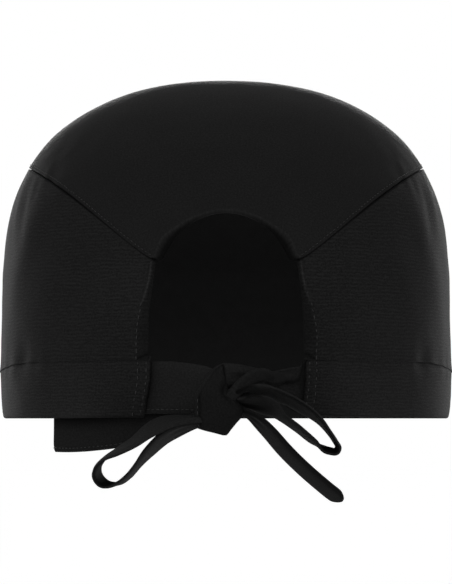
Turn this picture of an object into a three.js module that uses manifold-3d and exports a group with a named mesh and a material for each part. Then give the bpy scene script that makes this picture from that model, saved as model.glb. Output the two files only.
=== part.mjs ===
// Hygiene cap of black woven cotton: a domed crown, a side wall, a rim band and two ties in a bow.
// Millimetres. The origin is the centre of the head opening, level with the lower edge of the rim band.
// +X is the wearer's right, +Y the front and +Z up, so the back opening and the bow lie on -Y.
// Left and right in the names of the pieces are as seen from behind.
import * as THREE from "three";
import Module from "manifold-3d";
import { mergeVertices } from "three/addons/utils/BufferGeometryUtils.js";

const wasm = await Module();
wasm.setup();

// Sizes of the cap
const rimWidth = 184;
const rimDepth = 204;
const capHeight = 137.3;
const planSquareness = 2.2; // exponent of the plan outline, 2 being an ellipse
const frontNarrowing = 2.5; // ahead of its middle the plan is this much narrower on each side
const wallLean = 1.45; // the side wall leans in by this much between its foot and the shoulder
const leanEasing = 0.4; // below 1 it leans in mostly near its foot
const clothThickness = 1.2;
const clearance = 0.3; // kept between two pieces that touch on the real cap

// Sizes of the rim band
const bandThickness = 2;
const bandHeight = 18.6;
const bandRiseAtBack = 3.2; // the band is this much taller beside the back opening
const bandTallSpan = 50; // degrees from the back over which it keeps that height
const bandLevelFrom = 90; // degrees from the back at which it has lost it
const bandSetback = 0.4; // its face lies this far inside the foot of the side wall
const bandRounding = 1.7; // how far the lower edge rolls in
const rimLiftRight = 1.2; // the lower edge is drawn up beside the opening
const rimLiftLeft = 0.4;
const rimLiftSpan = 62; // degrees from the back over which the lift dies out

// Sizes of the back opening and of the seam between the crown and the side wall
const openingWidthFoot = 61.2;
const openingWidthTop = 56.6;
const archFoot = 59.4; // height at which the straight edges end and the arch begins
const archRise = 17.2;
const archSquareness = 1.65; // exponent of the arch's outline, 2 being half an ellipse
const crownRise = 32.8; // the crown rises this far above its seam at the front
const seamSweep = 30.4; // degrees round the cap in which the seam climbs most of the way to that height
const seamEasing = 1.2; // above 1 the seam starts its climb gently

// Sizes of the bow
const tieWidth = 19.5;
const tieThickness = 1.6;
const tieTuck = 5; // length of each tie that lies behind the end of the band
const tieRise = 0.6; // the ties' centre line lies this far above the middle of the band's end
const knotWidth = 18.2;
const knotHeight = 25.9;
const knotDepth = 13;
const knotSink = 8.4; // the knot's widest place lies this far below the ties' centre line
const knotOffset = -2.6; // the knot sits this far off centre
const knotStand = 7.6; // the ties bring the knot's middle this far behind the cap's back
const knotFlatness = 0.8; // flattens the front and back of its level sections, 1 being an ellipse
const turnWidth = 5.6; // the turn of strap that crosses the knot
const turnThickness = 3.4;
const loopReachLeft = 44.2;
const loopDropLeft = 27.7;
const loopReachRight = 44.2;
const loopDropRight = 15.2;
const tailReachRight = 45.2;
const tailDropRight = 32.7;
const tailReachLeft = 71.5; // from the knot, round the inside of the band
const tailDropLeft = 14.6; // how far the lying tail sinks below the ties' centre line
const tieSlack = 0.9; // room between the tucked ties and the band
const tailSlack = 1.8; // room between the lying tail and the band

// How the cap closes towards its top on each side. The shoulder, where the dome begins, is a share
// of the cap's height. Fullness and roundness are the exponents of the curve from there to the top.
const profiles = {
  side: { shoulder: 0.373, fullness: 2.73, roundness: 2.15 },
  back: { shoulder: 0.3, fullness: 2.3, roundness: 2.05 },
  front: { shoulder: 0.47, fullness: 2.5, roundness: 2.25 },
};

// Soft folds and dents in the cloth, pressed in, or out where "depth" is below 0. "at" is in degrees
// from the back and "across" is the half-width in degrees. "rise" and "up" are shares of the cap's
// height, "slant" is how far a fold moves round per share of the height, in degrees, and "depth" is a
// share of foldDepth.
const foldDepth = 1.2;
const folds = [
  { at: -59, rise: 0.5, across: 6, up: 0.19, slant: 32, depth: -0.6 },
  { at: -54, rise: 0.68, across: 4, up: 0.06, slant: 0, depth: 0.5 },
  { at: -45, rise: 0.79, across: 5, up: 0.06, slant: 0, depth: 0.3 },
  { at: -57, rise: 0.16, across: 4, up: 0.05, slant: 0, depth: 0.5 },
  { at: 59, rise: 0.5, across: 6, up: 0.19, slant: -32, depth: -0.6 },
  { at: 54, rise: 0.68, across: 4, up: 0.06, slant: 0, depth: 0.45 },
  { at: 46, rise: 0.8, across: 5, up: 0.06, slant: 0, depth: 0.25 },
  { at: 56, rise: 0.16, across: 4, up: 0.05, slant: 0, depth: 0.5 },
  { at: -128, rise: 0.5, across: 8, up: 0.2, slant: 0, depth: 0.7 },
  { at: 124, rise: 0.45, across: 8, up: 0.2, slant: 0, depth: 0.7 },
];

// The band from its lower to its upper edge. "rise" is a share of its height there, and "rounding" a
// share of bandRounding.
const bandRows = [
  { rise: 0, rounding: 1 },
  { rise: 0.05, rounding: 0.72 },
  { rise: 0.13, rounding: 0.5 },
  { rise: 0.3, rounding: 0.28 },
  { rise: 0.52, rounding: 0.14 },
  { rise: 1, rounding: 0 },
];

// The knot, in level sections from its foot to its top. "rise" is a share of knotHeight above or below
// its widest place, "aside" and "half" are shares of knotWidth, and "front" and "back" of knotDepth.
const knotRows = [
  { rise: -0.352, aside: 0.05, half: 0.1, front: 0.3, back: 0.05 },
  { rise: -0.325, aside: -0.03, half: 0.24, front: 0.38, back: 0.16 },
  { rise: -0.255, aside: -0.09, half: 0.37, front: 0.44, back: 0.26 },
  { rise: -0.139, aside: -0.03, half: 0.46, front: 0.49, back: 0.36 },
  { rise: 0, aside: 0, half: 0.5, front: 0.52, back: 0.42 },
  { rise: 0.143, aside: -0.07, half: 0.42, front: 0.53, back: 0.42 },
  { rise: 0.282, aside: -0.11, half: 0.3, front: 0.47, back: 0.38 },
  { rise: 0.425, aside: -0.07, half: 0.18, front: 0.36, back: 0.3 },
  { rise: 0.537, aside: -0.02, half: 0.1, front: 0.22, back: 0.2 },
  { rise: 0.648, aside: 0.04, half: 0.04, front: 0.08, back: 0.08 },
];

// The turn of strap over the knot. "aside" is a share of knotWidth, "rise" of knotHeight and "out" of
// knotDepth, all from the knot's middle.
const turnRows = [
  { aside: 0.9, rise: 0.55, out: 0.0, width: 0.85, turn: 15 },
  { aside: 0.68, rise: 0.47, out: 0.12, width: 1, turn: 10 },
  { aside: 0.5, rise: 0.385, out: 0.2, width: 1, turn: 5 },
  { aside: 0.35, rise: 0.285, out: 0.26, width: 0.95, turn: 0 },
  { aside: 0.2, rise: 0.17, out: 0.28, width: 0.8, turn: 0 },
];

// The loops and the free tail. "reach" and "drop" are shares of the piece's own reach and drop from
// the knot, "out" of knotDepth and "width" of tieWidth. "turn" is how far the strap has rolled from
// facing the back, in degrees.
const loopLeftRows = [
  { reach: 0.108, drop: 0.076, out: 0.06, width: 0.45, turn: 70 },
  { reach: 0.25, drop: 0.09, out: 0.1, width: 0.62, turn: 75 },
  { reach: 0.392, drop: 0.13, out: 0.12, width: 0.82, turn: 76 },
  { reach: 0.546, drop: 0.22, out: 0.12, width: 0.96, turn: 72 },
  { reach: 0.676, drop: 0.368, out: 0.1, width: 1, turn: 76 },
  { reach: 0.797, drop: 0.505, out: 0.06, width: 1, turn: 81 },
  { reach: 0.936, drop: 0.653, out: 0, width: 1, turn: 87 },
  { reach: 0.993, drop: 0.765, out: -0.04, width: 1, turn: 94 },
  { reach: 0.989, drop: 0.899, out: -0.06, width: 1, turn: 99 },
  { reach: 0.903, drop: 0.993, out: -0.06, width: 1, turn: 96 },
  { reach: 0.815, drop: 0.978, out: -0.04, width: 1, turn: 90 },
  { reach: 0.716, drop: 0.859, out: 0, width: 1, turn: 84 },
  { reach: 0.595, drop: 0.653, out: 0.04, width: 1, turn: 82 },
  { reach: 0.474, drop: 0.487, out: 0.06, width: 0.95, turn: 79 },
  { reach: 0.352, drop: 0.336, out: 0.06, width: 0.82, turn: 81 },
  { reach: 0.231, drop: 0.22, out: 0.04, width: 0.62, turn: 80 },
  { reach: 0.126, drop: 0.17, out: 0.02, width: 0.45, turn: 80 },
];
const loopRightRows = [
  { reach: 0.113, drop: -0.25, out: 0.02, width: 0.45, turn: 72 },
  { reach: 0.296, drop: -0.44, out: 0.1, width: 0.66, turn: 78 },
  { reach: 0.471, drop: -0.414, out: 0.14, width: 0.86, turn: 92 },
  { reach: 0.615, drop: -0.224, out: 0.14, width: 0.98, turn: 99 },
  { reach: 0.738, drop: 0.007, out: 0.1, width: 1, turn: 99 },
  { reach: 0.828, drop: 0.237, out: 0.06, width: 1, turn: 99 },
  { reach: 0.912, drop: 0.513, out: 0.02, width: 1, turn: 96 },
  { reach: 0.98, drop: 0.776, out: -0.02, width: 1, turn: 92 },
  { reach: 1, drop: 0.934, out: -0.03, width: 1, turn: 88 },
  { reach: 0.955, drop: 0.995, out: -0.03, width: 1, turn: 97 },
  { reach: 0.871, drop: 0.934, out: -0.02, width: 1, turn: 95 },
  { reach: 0.785, drop: 0.763, out: 0, width: 1, turn: 86 },
  { reach: 0.652, drop: 0.454, out: 0.03, width: 0.98, turn: 82 },
  { reach: 0.529, drop: 0.171, out: 0.05, width: 0.9, turn: 80 },
  { reach: 0.412, drop: -0.059, out: 0.04, width: 0.76, turn: 79 },
  { reach: 0.262, drop: -0.15, out: 0, width: 0.58, turn: 79 },
  { reach: 0.138, drop: -0.12, out: 0, width: 0.45, turn: 79 },
];
const tailRightRows = [
  { reach: 0.14, drop: 0, out: -0.12, width: 0.42, turn: 106 },
  { reach: 0.257, drop: 0.07, out: -0.14, width: 0.5, turn: 104 },
  { reach: 0.323, drop: 0.159, out: -0.12, width: 0.62, turn: 104 },
  { reach: 0.405, drop: 0.3, out: -0.08, width: 0.8, turn: 104 },
  { reach: 0.527, drop: 0.471, out: -0.02, width: 0.95, turn: 104 },
  { reach: 0.666, drop: 0.633, out: 0.02, width: 1, turn: 105 },
  { reach: 0.812, drop: 0.801, out: 0.04, width: 1, turn: 105 },
  { reach: 0.927, drop: 0.927, out: 0.04, width: 0.98, turn: 105 },
  { reach: 1, drop: 1, out: 0.04, width: 0.9, turn: 105 },
];

// The ties from the band to the knot. "way" goes from 0 at the edge of the opening to 1 at the knot's
// middle, "rise" is a share of tieWidth above their centre line and "thick" a share of tieThickness.
const tieLeftRows = [
  { way: 0.25, rise: 0, width: 1, thick: 1, turn: 0 },
  { way: 0.55, rise: -0.02, width: 0.96, thick: 1.1, turn: 4 },
  { way: 0.8, rise: -0.05, width: 0.9, thick: 1.4, turn: 8 },
  { way: 0.95, rise: -0.08, width: 0.8, thick: 1.6, turn: 10 },
];
const tieRightRows = [
  { way: 0.12, rise: 0.03, width: 0.98, thick: 1, turn: 8 },
  { way: 0.28, rise: 0.15, width: 0.62, thick: 1.5, turn: 30 },
  { way: 0.42, rise: 0.2, width: 0.34, thick: 2.1, turn: 40 },
  { way: 0.58, rise: 0.2, width: 0.36, thick: 2.2, turn: 20 },
  { way: 0.8, rise: 0.2, width: 0.44, thick: 2, turn: 5 },
  { way: 0.95, rise: 0.16, width: 0.44, thick: 2, turn: 0 },
];

// The tail that lies inside the band. "way" goes from 0 at the back to 1 at the tail's end, "sink" is
// a share of tailDropLeft and "width" of tieWidth.
const tailLeftRows = [
  { way: 0.2, sink: 0.32, width: 0.8 },
  { way: 0.36, sink: 0.6, width: 0.92 },
  { way: 0.52, sink: 0.85, width: 1 },
  { way: 0.7, sink: 0.96, width: 1 },
  { way: 0.86, sink: 1, width: 1 },
  { way: 1, sink: 1, width: 1 },
];
const tailRoot = { back: 0.35, rise: 0.05, width: 0.6 }; // shares of knotDepth, knotHeight and tieWidth

// The section of a strap, in shares of half its width and half its thickness: thinner at its edges
const strapSection = [
  { wide: -1, thick: -0.55 },
  { wide: 0, thick: -1 },
  { wide: 1, thick: -0.55 },
  { wide: 1, thick: 0.55 },
  { wide: 0, thick: 1 },
  { wide: -1, thick: 0.55 },
];

// Fineness of the meshes
const archSteps = 16;
const crownColumns = 76;
const crownRows = 11;
const wallColumns = 84;
const wallRows = 6;
const bandColumns = 68;
const strapSteps = 2; // sections per row of a strap's table
const knotSides = 16;

const halfWidth = rimWidth / 2;
const halfDepth = rimDepth / 2;
const seamHeight = capHeight - crownRise; // height of the crown seam at the front
const tieHeight = (bandHeight + bandRiseAtBack) / 2 + tieRise;
const radians = THREE.MathUtils.degToRad;
const smooth = THREE.MathUtils.smoothstep;
const mix = THREE.MathUtils.lerp;

// Keeps the sign of a base that is raised to a broken power.
function signedPower(base, power) {
  return Math.sign(base) * Math.abs(base) ** power;
}

// The closing curve at an angle from the back, blended between the three profiles.
function profileAt(angle) {
  const sideways = Math.sin(angle) ** 2;
  const end = Math.cos(angle) > 0 ? profiles.back : profiles.front;
  return {
    shoulder: mix(end.shoulder, profiles.side.shoulder, sideways) * capHeight,
    fullness: mix(end.fullness, profiles.side.fullness, sideways),
    roundness: mix(end.roundness, profiles.side.roundness, sideways),
  };
}

// How deep the folds press the cloth in at an angle from the back and a height.
function foldAt(angle, height) {
  let depth = 0;
  for (const fold of folds) {
    const above = height / capHeight - fold.rise;
    const round = angle - radians(fold.at + fold.slant * above);
    const across = Math.atan2(Math.sin(round), Math.cos(round)) / radians(fold.across);
    const up = above / fold.up;
    depth += fold.depth * foldDepth * Math.exp(-(across ** 2) - up ** 2);
  }
  return depth;
}

// A point of the cap at an angle from the back (positive towards +X) and a height, set in from the
// outer face by "inset".
function capPoint(angle, height, inset = 0) {
  const { shoulder, fullness, roundness } = profileAt(angle);
  const inward = inset + foldAt(angle, height);
  const share = Math.min(1, Math.max(0, (height - shoulder) / (capHeight - shoulder)));
  const closing = (1 - share ** fullness) ** (1 / roundness);
  const leanShare = Math.min(1, Math.max(0, (height - bandHeight) / (shoulder - bandHeight)));
  const lean = wallLean * leanShare ** leanEasing;
  const ahead = Math.max(0, -Math.cos(angle));
  const acrossReach = halfWidth - lean - inward - frontNarrowing * ahead * Math.abs(Math.sin(angle));
  const alongReach = halfDepth - lean - inward;
  return new THREE.Vector3(
    acrossReach * closing * signedPower(Math.sin(angle), 2 / planSquareness),
    -alongReach * closing * signedPower(Math.cos(angle), 2 / planSquareness),
    height - inset * share,
  );
}

// The angle from the back at which the cap's outer face stands "across" from its middle.
function angleAcross(across, height) {
  const reach = capPoint(Math.PI / 2, height).x + foldAt(Math.PI / 2, height);
  return Math.asin(Math.min(1, across / reach) ** (planSquareness / 2));
}

// Half the width of the back opening at a height below the arch.
function openingHalf(height) {
  return mix(openingWidthFoot, openingWidthTop, height / archFoot) / 2;
}

const archAngle = angleAcross(openingWidthTop / 2, archFoot);

// Height of the seam between the crown and the side wall.
function seamAt(angle) {
  const round = Math.max(0, Math.min(angle, 2 * Math.PI - angle) - archAngle);
  return seamHeight - (seamHeight - archFoot) * Math.exp(-((round / radians(seamSweep)) ** seamEasing));
}

// Upper and lower edge of the rim band.
function bandTopAt(angle) {
  const round = Math.min(angle, 2 * Math.PI - angle);
  return bandHeight + bandRiseAtBack * (1 - smooth(round, radians(bandTallSpan), radians(bandLevelFrom)));
}
function bandFootAt(angle) {
  const right = 1 - smooth(angle, 0, radians(rimLiftSpan));
  const left = 1 - smooth(2 * Math.PI - angle, 0, radians(rimLiftSpan));
  return rimLiftRight * right + rimLiftLeft * left;
}

// A closed solid from points and faces that share them.
function geometryOf(points, faces) {
  const geometry = new THREE.BufferGeometry().setFromPoints(points);
  geometry.setIndex(faces.flat());
  return geometry;
}

// A closed wall between an outer and an inner grid. A ring joins its last column to its first, and a
// top row that is one point closes the ring like a dome.
function shell(outer, inner, { ring = false, dome = false }) {
  const rows = outer.length;
  const columns = outer[0].length;
  const points = [];
  const faces = [];
  const index = { outer: [], inner: [] };
  for (const [side, grid] of Object.entries({ outer, inner })) {
    for (let row = 0; row < rows; row += 1) {
      const pole = dome && row === rows - 1;
      const first = points.length;
      points.push(...(pole ? [grid[row][0]] : grid[row]));
      index[side].push(grid[row].map((_, column) => (pole ? first : first + column)));
    }
  }
  const quad = (a, b, c, d) => {
    if (a !== b && b !== c && a !== c) faces.push([a, b, c]);
    if (a !== c && c !== d && a !== d) faces.push([a, c, d]);
  };
  const { outer: o, inner: i } = index;
  const spans = ring ? columns : columns - 1;
  for (let row = 0; row < rows - 1; row += 1) {
    for (let column = 0; column < spans; column += 1) {
      const next = (column + 1) % columns;
      quad(o[row][column], o[row][next], o[row + 1][next], o[row + 1][column]);
      quad(i[row][next], i[row][column], i[row + 1][column], i[row + 1][next]);
    }
  }
  for (let column = 0; column < spans; column += 1) {
    const next = (column + 1) % columns;
    quad(i[0][column], i[0][next], o[0][next], o[0][column]);
    if (!dome) {
      const top = rows - 1;
      quad(o[top][column], o[top][next], i[top][next], i[top][column]);
    }
  }
  if (!ring) {
    const end = columns - 1;
    for (let row = 0; row < rows - 1; row += 1) {
      quad(i[row][0], o[row][0], o[row + 1][0], i[row + 1][0]);
      quad(o[row][end], i[row][end], i[row + 1][end], o[row + 1][end]);
    }
  }
  return geometryOf(points, faces);
}

// Columns of the crown: each has its angle and the height of the crown's lower edge there.
function crownEdge() {
  const edge = [];
  for (let step = 0; step < archSteps; step += 1) {
    const along = Math.PI * (step / archSteps - 0.5);
    const height = archFoot + archRise * signedPower(Math.cos(along), 2 / archSquareness);
    const across = (openingWidthTop / 2) * signedPower(Math.sin(along), 2 / archSquareness);
    edge.push({ angle: Math.sign(across) * angleAcross(Math.abs(across), height), low: height });
  }
  for (let step = 0; step < crownColumns; step += 1) {
    const angle = mix(archAngle, 2 * Math.PI - archAngle, step / crownColumns);
    edge.push({ angle, low: seamAt(angle) + clearance / 2 });
  }
  return edge;
}

function crownGeometry() {
  const edge = crownEdge();
  const gridAt = (inset) => {
    const grid = [];
    for (let row = 0; row <= crownRows; row += 1) {
      grid.push(
        edge.map(({ angle, low }) => {
          const { shoulder, fullness } = profileAt(angle);
          const lowShare = (low - shoulder) / (capHeight - shoulder);
          const start = Math.asin(lowShare ** (fullness / 2));
          const swing = mix(start, Math.PI / 2, row / crownRows);
          const height = shoulder + (capHeight - shoulder) * Math.sin(swing) ** (2 / fullness);
          return capPoint(angle, height, inset);
        }),
      );
    }
    return grid;
  };
  return shell(gridAt(0), gridAt(clothThickness), { ring: true, dome: true });
}

// A grid of the wall or the band, from the right edge of the opening round the front to the left one.
function roundGrid(columns, heights) {
  return heights.map((heightAt) => {
    const row = [];
    for (let column = 0; column <= columns; column += 1) {
      const guess = mix(archAngle, 2 * Math.PI - archAngle, column / columns);
      const { height, inset } = heightAt(guess);
      const edge = angleAcross(openingHalf(height), height);
      const angle = mix(edge, 2 * Math.PI - edge, column / columns);
      row.push(capPoint(angle, height, inset));
    }
    return row;
  });
}

function sideWallGeometry() {
  const gridAt = (inset) =>
    roundGrid(
      wallColumns,
      Array.from({ length: wallRows + 1 }, (_, row) => (angle) => ({
        height: mix(bandTopAt(angle) + clearance / 2, seamAt(angle) - clearance / 2, row / wallRows),
        inset,
      })),
    );
  return shell(gridAt(0), gridAt(clothThickness), {});
}

function rimBandGeometry() {
  const gridAt = (inner) =>
    roundGrid(
      bandColumns,
      bandRows.map(({ rise, rounding }) => (angle) => ({
        height: mix(bandFootAt(angle), bandTopAt(angle) - clearance / 2, rise),
        inset: bandSetback + (inner ? bandThickness : bandRounding * rounding),
      })),
    );
  return shell(gridAt(false), gridAt(true), {});
}

// Turns a closed geometry so that its faces point outwards.
function outward(geometry) {
  const position = geometry.getAttribute("position");
  const index = geometry.index.array;
  const corner = (i) => new THREE.Vector3().fromBufferAttribute(position, index[i]);
  let volume = 0;
  for (let i = 0; i < index.length; i += 3) {
    volume += corner(i).dot(corner(i + 1).cross(corner(i + 2)));
  }
  if (volume < 0) {
    for (let i = 0; i < index.length; i += 3) [index[i], index[i + 1]] = [index[i + 1], index[i]];
  }
  return geometry;
}

// Joins sections of the same number of points, one after another, into a closed tube.
function tubeOf(points, sides) {
  const faces = [];
  const last = points.length - sides;
  for (let ring = 0; ring < last; ring += sides) {
    for (let corner = 0; corner < sides; corner += 1) {
      const a = ring + corner;
      const b = ring + ((corner + 1) % sides);
      faces.push([a, b, b + sides], [a, b + sides, a + sides]);
    }
  }
  for (let corner = 1; corner < sides - 1; corner += 1) {
    faces.push([0, corner + 1, corner], [last, last + corner, last + corner + 1]);
  }
  return outward(geometryOf(points, faces));
}

// A flat strap along a smooth path through its rows. Each row has a middle point, a width, a
// thickness and a turn in degrees: at 0 the strap faces the back, and at 90 it is seen edge on. A
// smaller turn brings the edge inside a loop nearer, on the left side (-1) and on the right one (1).
function strapGeometry(rows, side) {
  const path = new THREE.CatmullRomCurve3(rows.map((row) => row.point), false, "centripetal");
  const count = (rows.length - 1) * strapSteps;
  const toBack = new THREE.Vector3(0, -1, 0);
  const points = [];
  for (let step = 0; step <= count; step += 1) {
    const t = step / count;
    const row = t * (rows.length - 1);
    const low = Math.min(Math.floor(row), rows.length - 2);
    const blend = (name) => mix(rows[low][name], rows[low + 1][name], row - low);
    const roll = radians(blend("turn"));
    const along = path.getTangent(t);
    const upright = new THREE.Vector3().crossVectors(along, toBack).multiplyScalar(side).normalize();
    const facing = toBack.clone().addScaledVector(along, -toBack.dot(along)).normalize();
    const across = upright.clone().multiplyScalar(Math.cos(roll)).addScaledVector(facing, Math.sin(roll));
    const out = new THREE.Vector3().crossVectors(along, across).normalize();
    const half = blend("width") / 2;
    const thin = blend("thickness") / 2;
    const middle = path.getPoint(t);
    for (const corner of strapSection) {
      const place = middle.clone().addScaledVector(across, corner.wide * half);
      points.push(place.addScaledVector(out, corner.thick * thin));
    }
  }
  return tubeOf(points, strapSection.length);
}

function solidOf(geometry) {
  const merged = mergeVertices(geometry);
  return new wasm.Manifold(
    new wasm.Mesh({
      numProp: 3,
      vertProperties: merged.getAttribute("position").array,
      triVerts: new Uint32Array(merged.index.array),
    }),
  );
}

function geometryFrom(solid) {
  const mesh = solid.getMesh();
  const geometry = new THREE.BufferGeometry();
  geometry.setAttribute("position", new THREE.BufferAttribute(mesh.vertProperties, 3));
  geometry.setIndex(new THREE.BufferAttribute(mesh.triVerts, 1));
  return geometry;
}

// The middle of the knot, at its widest place
const knotMiddle = new THREE.Vector3(knotOffset, -halfDepth - knotStand, tieHeight - knotSink);

// The knot and its turn of strap, swollen by "grow" for trimming what meets it.
function knotSolid(grow) {
  const points = [];
  for (const row of knotRows) {
    const height = knotMiddle.z + row.rise * knotHeight;
    const end = row === knotRows[0] ? -grow : row === knotRows.at(-1) ? grow : 0;
    for (let corner = 0; corner < knotSides; corner += 1) {
      const angle = (corner / knotSides) * 2 * Math.PI;
      const depth = Math.sin(angle) < 0 ? row.front : row.back;
      points.push(
        new THREE.Vector3(
          knotMiddle.x + row.aside * knotWidth + Math.cos(angle) * (row.half * knotWidth + grow),
          knotMiddle.y + signedPower(Math.sin(angle), knotFlatness) * (depth * knotDepth + grow),
          height + end,
        ),
      );
    }
  }
  const turn = turnRows.map((row) => ({
    point: new THREE.Vector3(
      knotMiddle.x + row.aside * knotWidth,
      knotMiddle.y - row.out * knotDepth,
      knotMiddle.z + row.rise * knotHeight,
    ),
    width: row.width * turnWidth + 2 * grow,
    thickness: turnThickness + 2 * grow,
    turn: row.turn,
  }));
  return solidOf(tubeOf(points, knotSides)).add(solidOf(strapGeometry(turn, 1)));
}

const knot = knotSolid(0);
const knotRoom = knotSolid(clearance);

// Cuts a strap off where it enters the knot.
function trimmed(geometry) {
  return geometryFrom(solidOf(geometry).subtract(knotRoom));
}

// A loop or a tail that hangs from the knot, to the left (-1) or the right (1).
function hangingStrap(rows, side, reach, drop) {
  return trimmed(
    strapGeometry(
      rows.map((row) => ({
        point: new THREE.Vector3(
          knotMiddle.x + side * row.reach * reach,
          knotMiddle.y - row.out * knotDepth,
          knotMiddle.z - row.drop * drop,
        ),
        width: row.width * tieWidth,
        thickness: tieThickness,
        turn: row.turn,
      })),
      side,
    ),
  );
}

// A point just inside the band, for a strap that lies against it.
function insideBand(angle, height, slack) {
  return capPoint(angle, height, bandSetback + bandThickness + clearance + tieThickness / 2 + slack);
}

// A tie from behind the end of the band to the knot, from the left (-1) or the right (1).
function tieGeometry(rows, side) {
  const edgeAngle = angleAcross(openingHalf(tieHeight), tieHeight);
  const tuckAngle = edgeAngle + tieTuck / halfDepth;
  const plain = { width: tieWidth, thickness: tieThickness, turn: 0 };
  const start = { point: insideBand(side * tuckAngle, tieHeight, tieSlack), ...plain };
  const edge = { point: insideBand(side * edgeAngle, tieHeight, tieSlack), ...plain };
  const free = rows.map((row) => ({
    point: new THREE.Vector3(
      mix(edge.point.x, knotMiddle.x, row.way),
      mix(edge.point.y, knotMiddle.y, row.way),
      tieHeight + row.rise * tieWidth,
    ),
    width: row.width * tieWidth,
    thickness: row.thick * tieThickness,
    turn: row.turn,
  }));
  return trimmed(strapGeometry([start, edge, ...free], side));
}

// The left tail leaves the back of the knot and lies inside the band, with its end below the rim.
function tailLeftGeometry() {
  const lastAngle = angleAcross(tailReachLeft, tieHeight);
  const lying = tailLeftRows.map((row) => ({
    point: insideBand(
      -lastAngle * row.way,
      tieHeight - row.sink * tailDropLeft,
      tieThickness + clearance + tailSlack,
    ),
    width: row.width * tieWidth,
    thickness: tieThickness,
    turn: 0,
  }));
  const root = {
    point: new THREE.Vector3(
      knotMiddle.x,
      knotMiddle.y + tailRoot.back * knotDepth,
      knotMiddle.z + tailRoot.rise * knotHeight,
    ),
    width: tailRoot.width * tieWidth,
    thickness: tieThickness,
    turn: 0,
  };
  return trimmed(strapGeometry([root, ...lying], -1));
}

// Cloth finishes
function cloth(name, color, roughness) {
  return new THREE.MeshStandardMaterial({ name, color, roughness, metalness: 0 });
}
const capCloth = cloth("black_cloth", 0x1c1c1e, 0.85);
const bandCloth = cloth("black_band", 0x1a1a1c, 0.85);
const tieCloth = cloth("black_tie", 0x1d1d1f, 0.82);

function piece(name, geometry, material) {
  const mesh = new THREE.Mesh(geometry, material);
  mesh.name = name;
  return mesh;
}

const cap = new THREE.Group();
cap.add(piece("crown", crownGeometry(), capCloth));
cap.add(piece("side_wall", sideWallGeometry(), capCloth));
cap.add(piece("rim_band", rimBandGeometry(), bandCloth));
cap.add(piece("tie_left", tieGeometry(tieLeftRows, -1), tieCloth));
cap.add(piece("tie_right", tieGeometry(tieRightRows, 1), tieCloth));
cap.add(piece("knot", geometryFrom(knot), tieCloth));
cap.add(piece("loop_left", hangingStrap(loopLeftRows, -1, loopReachLeft, loopDropLeft), tieCloth));
cap.add(piece("loop_right", hangingStrap(loopRightRows, 1, loopReachRight, loopDropRight), tieCloth));
cap.add(piece("tail_left", tailLeftGeometry(), tieCloth));
cap.add(piece("tail_right", hangingStrap(tailRightRows, 1, tailReachRight, tailDropRight), tieCloth));

export default cap;
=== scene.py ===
import math

import bpy
import numpy as np
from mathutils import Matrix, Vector, kdtree, noise


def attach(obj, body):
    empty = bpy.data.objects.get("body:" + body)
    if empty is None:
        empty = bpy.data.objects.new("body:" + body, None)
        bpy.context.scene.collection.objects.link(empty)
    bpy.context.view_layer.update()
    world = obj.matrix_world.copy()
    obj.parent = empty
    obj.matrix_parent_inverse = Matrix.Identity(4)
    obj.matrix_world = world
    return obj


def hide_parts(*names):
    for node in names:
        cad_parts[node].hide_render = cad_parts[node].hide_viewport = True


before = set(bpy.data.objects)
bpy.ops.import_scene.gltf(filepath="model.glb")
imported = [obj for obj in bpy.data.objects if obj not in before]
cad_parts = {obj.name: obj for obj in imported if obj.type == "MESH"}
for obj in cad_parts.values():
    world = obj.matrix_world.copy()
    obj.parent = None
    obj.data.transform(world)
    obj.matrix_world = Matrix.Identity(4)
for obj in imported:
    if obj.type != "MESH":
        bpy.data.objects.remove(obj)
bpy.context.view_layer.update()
scene = bpy.context.scene
print("frame loaded:", len(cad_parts), "nodes")

# Lengths in the dictionaries are millimetres and angles are degrees. A mesh is made in metres.
# Angles round the cap start at the back, where the opening is, and grow towards +X.
millimetre = 0.001


# Small helpers for numbers

def mix(a, b, share):
    return a + (b - a) * share


def clamp(value, low=0.0, high=1.0):
    return min(high, max(low, value))


def smooth(value, low, high):
    share = clamp((value - low) / (high - low))
    return share * share * (3 - 2 * share)


def bell(value, width):
    return math.exp(-(value / width) ** 2)


def signedPower(base, power):
    return math.copysign(abs(base) ** power, base)


def curved(a, b, c, d, share):
    # from b to c, on a smooth curve through a, b, c and d
    ahead, after = (c - a) / 2, (d - b) / 2
    rest = 1 - share
    return mix(b, c, share * share * (3 - 2 * share)) + ahead * share * rest ** 2 - after * share ** 2 * rest


def tableAt(table, x):
    # table is a list of (place, value) pairs
    if x <= table[0][0]:
        return table[0][1]
    for (x0, y0), (x1, y1) in zip(table, table[1:]):
        if x <= x1:
            return mix(y0, y1, smooth(x, x0, x1) * 0.5 + 0.5 * (x - x0) / (x1 - x0))
    return table[-1][1]


# Camera, light and floor

studio = {
    "cameraDistance": 1.1,
    "cameraAside": 0.0,
    "aimHeight": 0.0516,
    "lens": 166.2,
    "skyLight": 0.7,
    "lowLight": 0.58,
    "keyLight": 2.5,
    "rimLight": 6.9,
    "topLight": 26,
    "hollowLight": 0.72,
    "floorDrop": 0.25,
    "floorGlow": 0.4,
}


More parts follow.
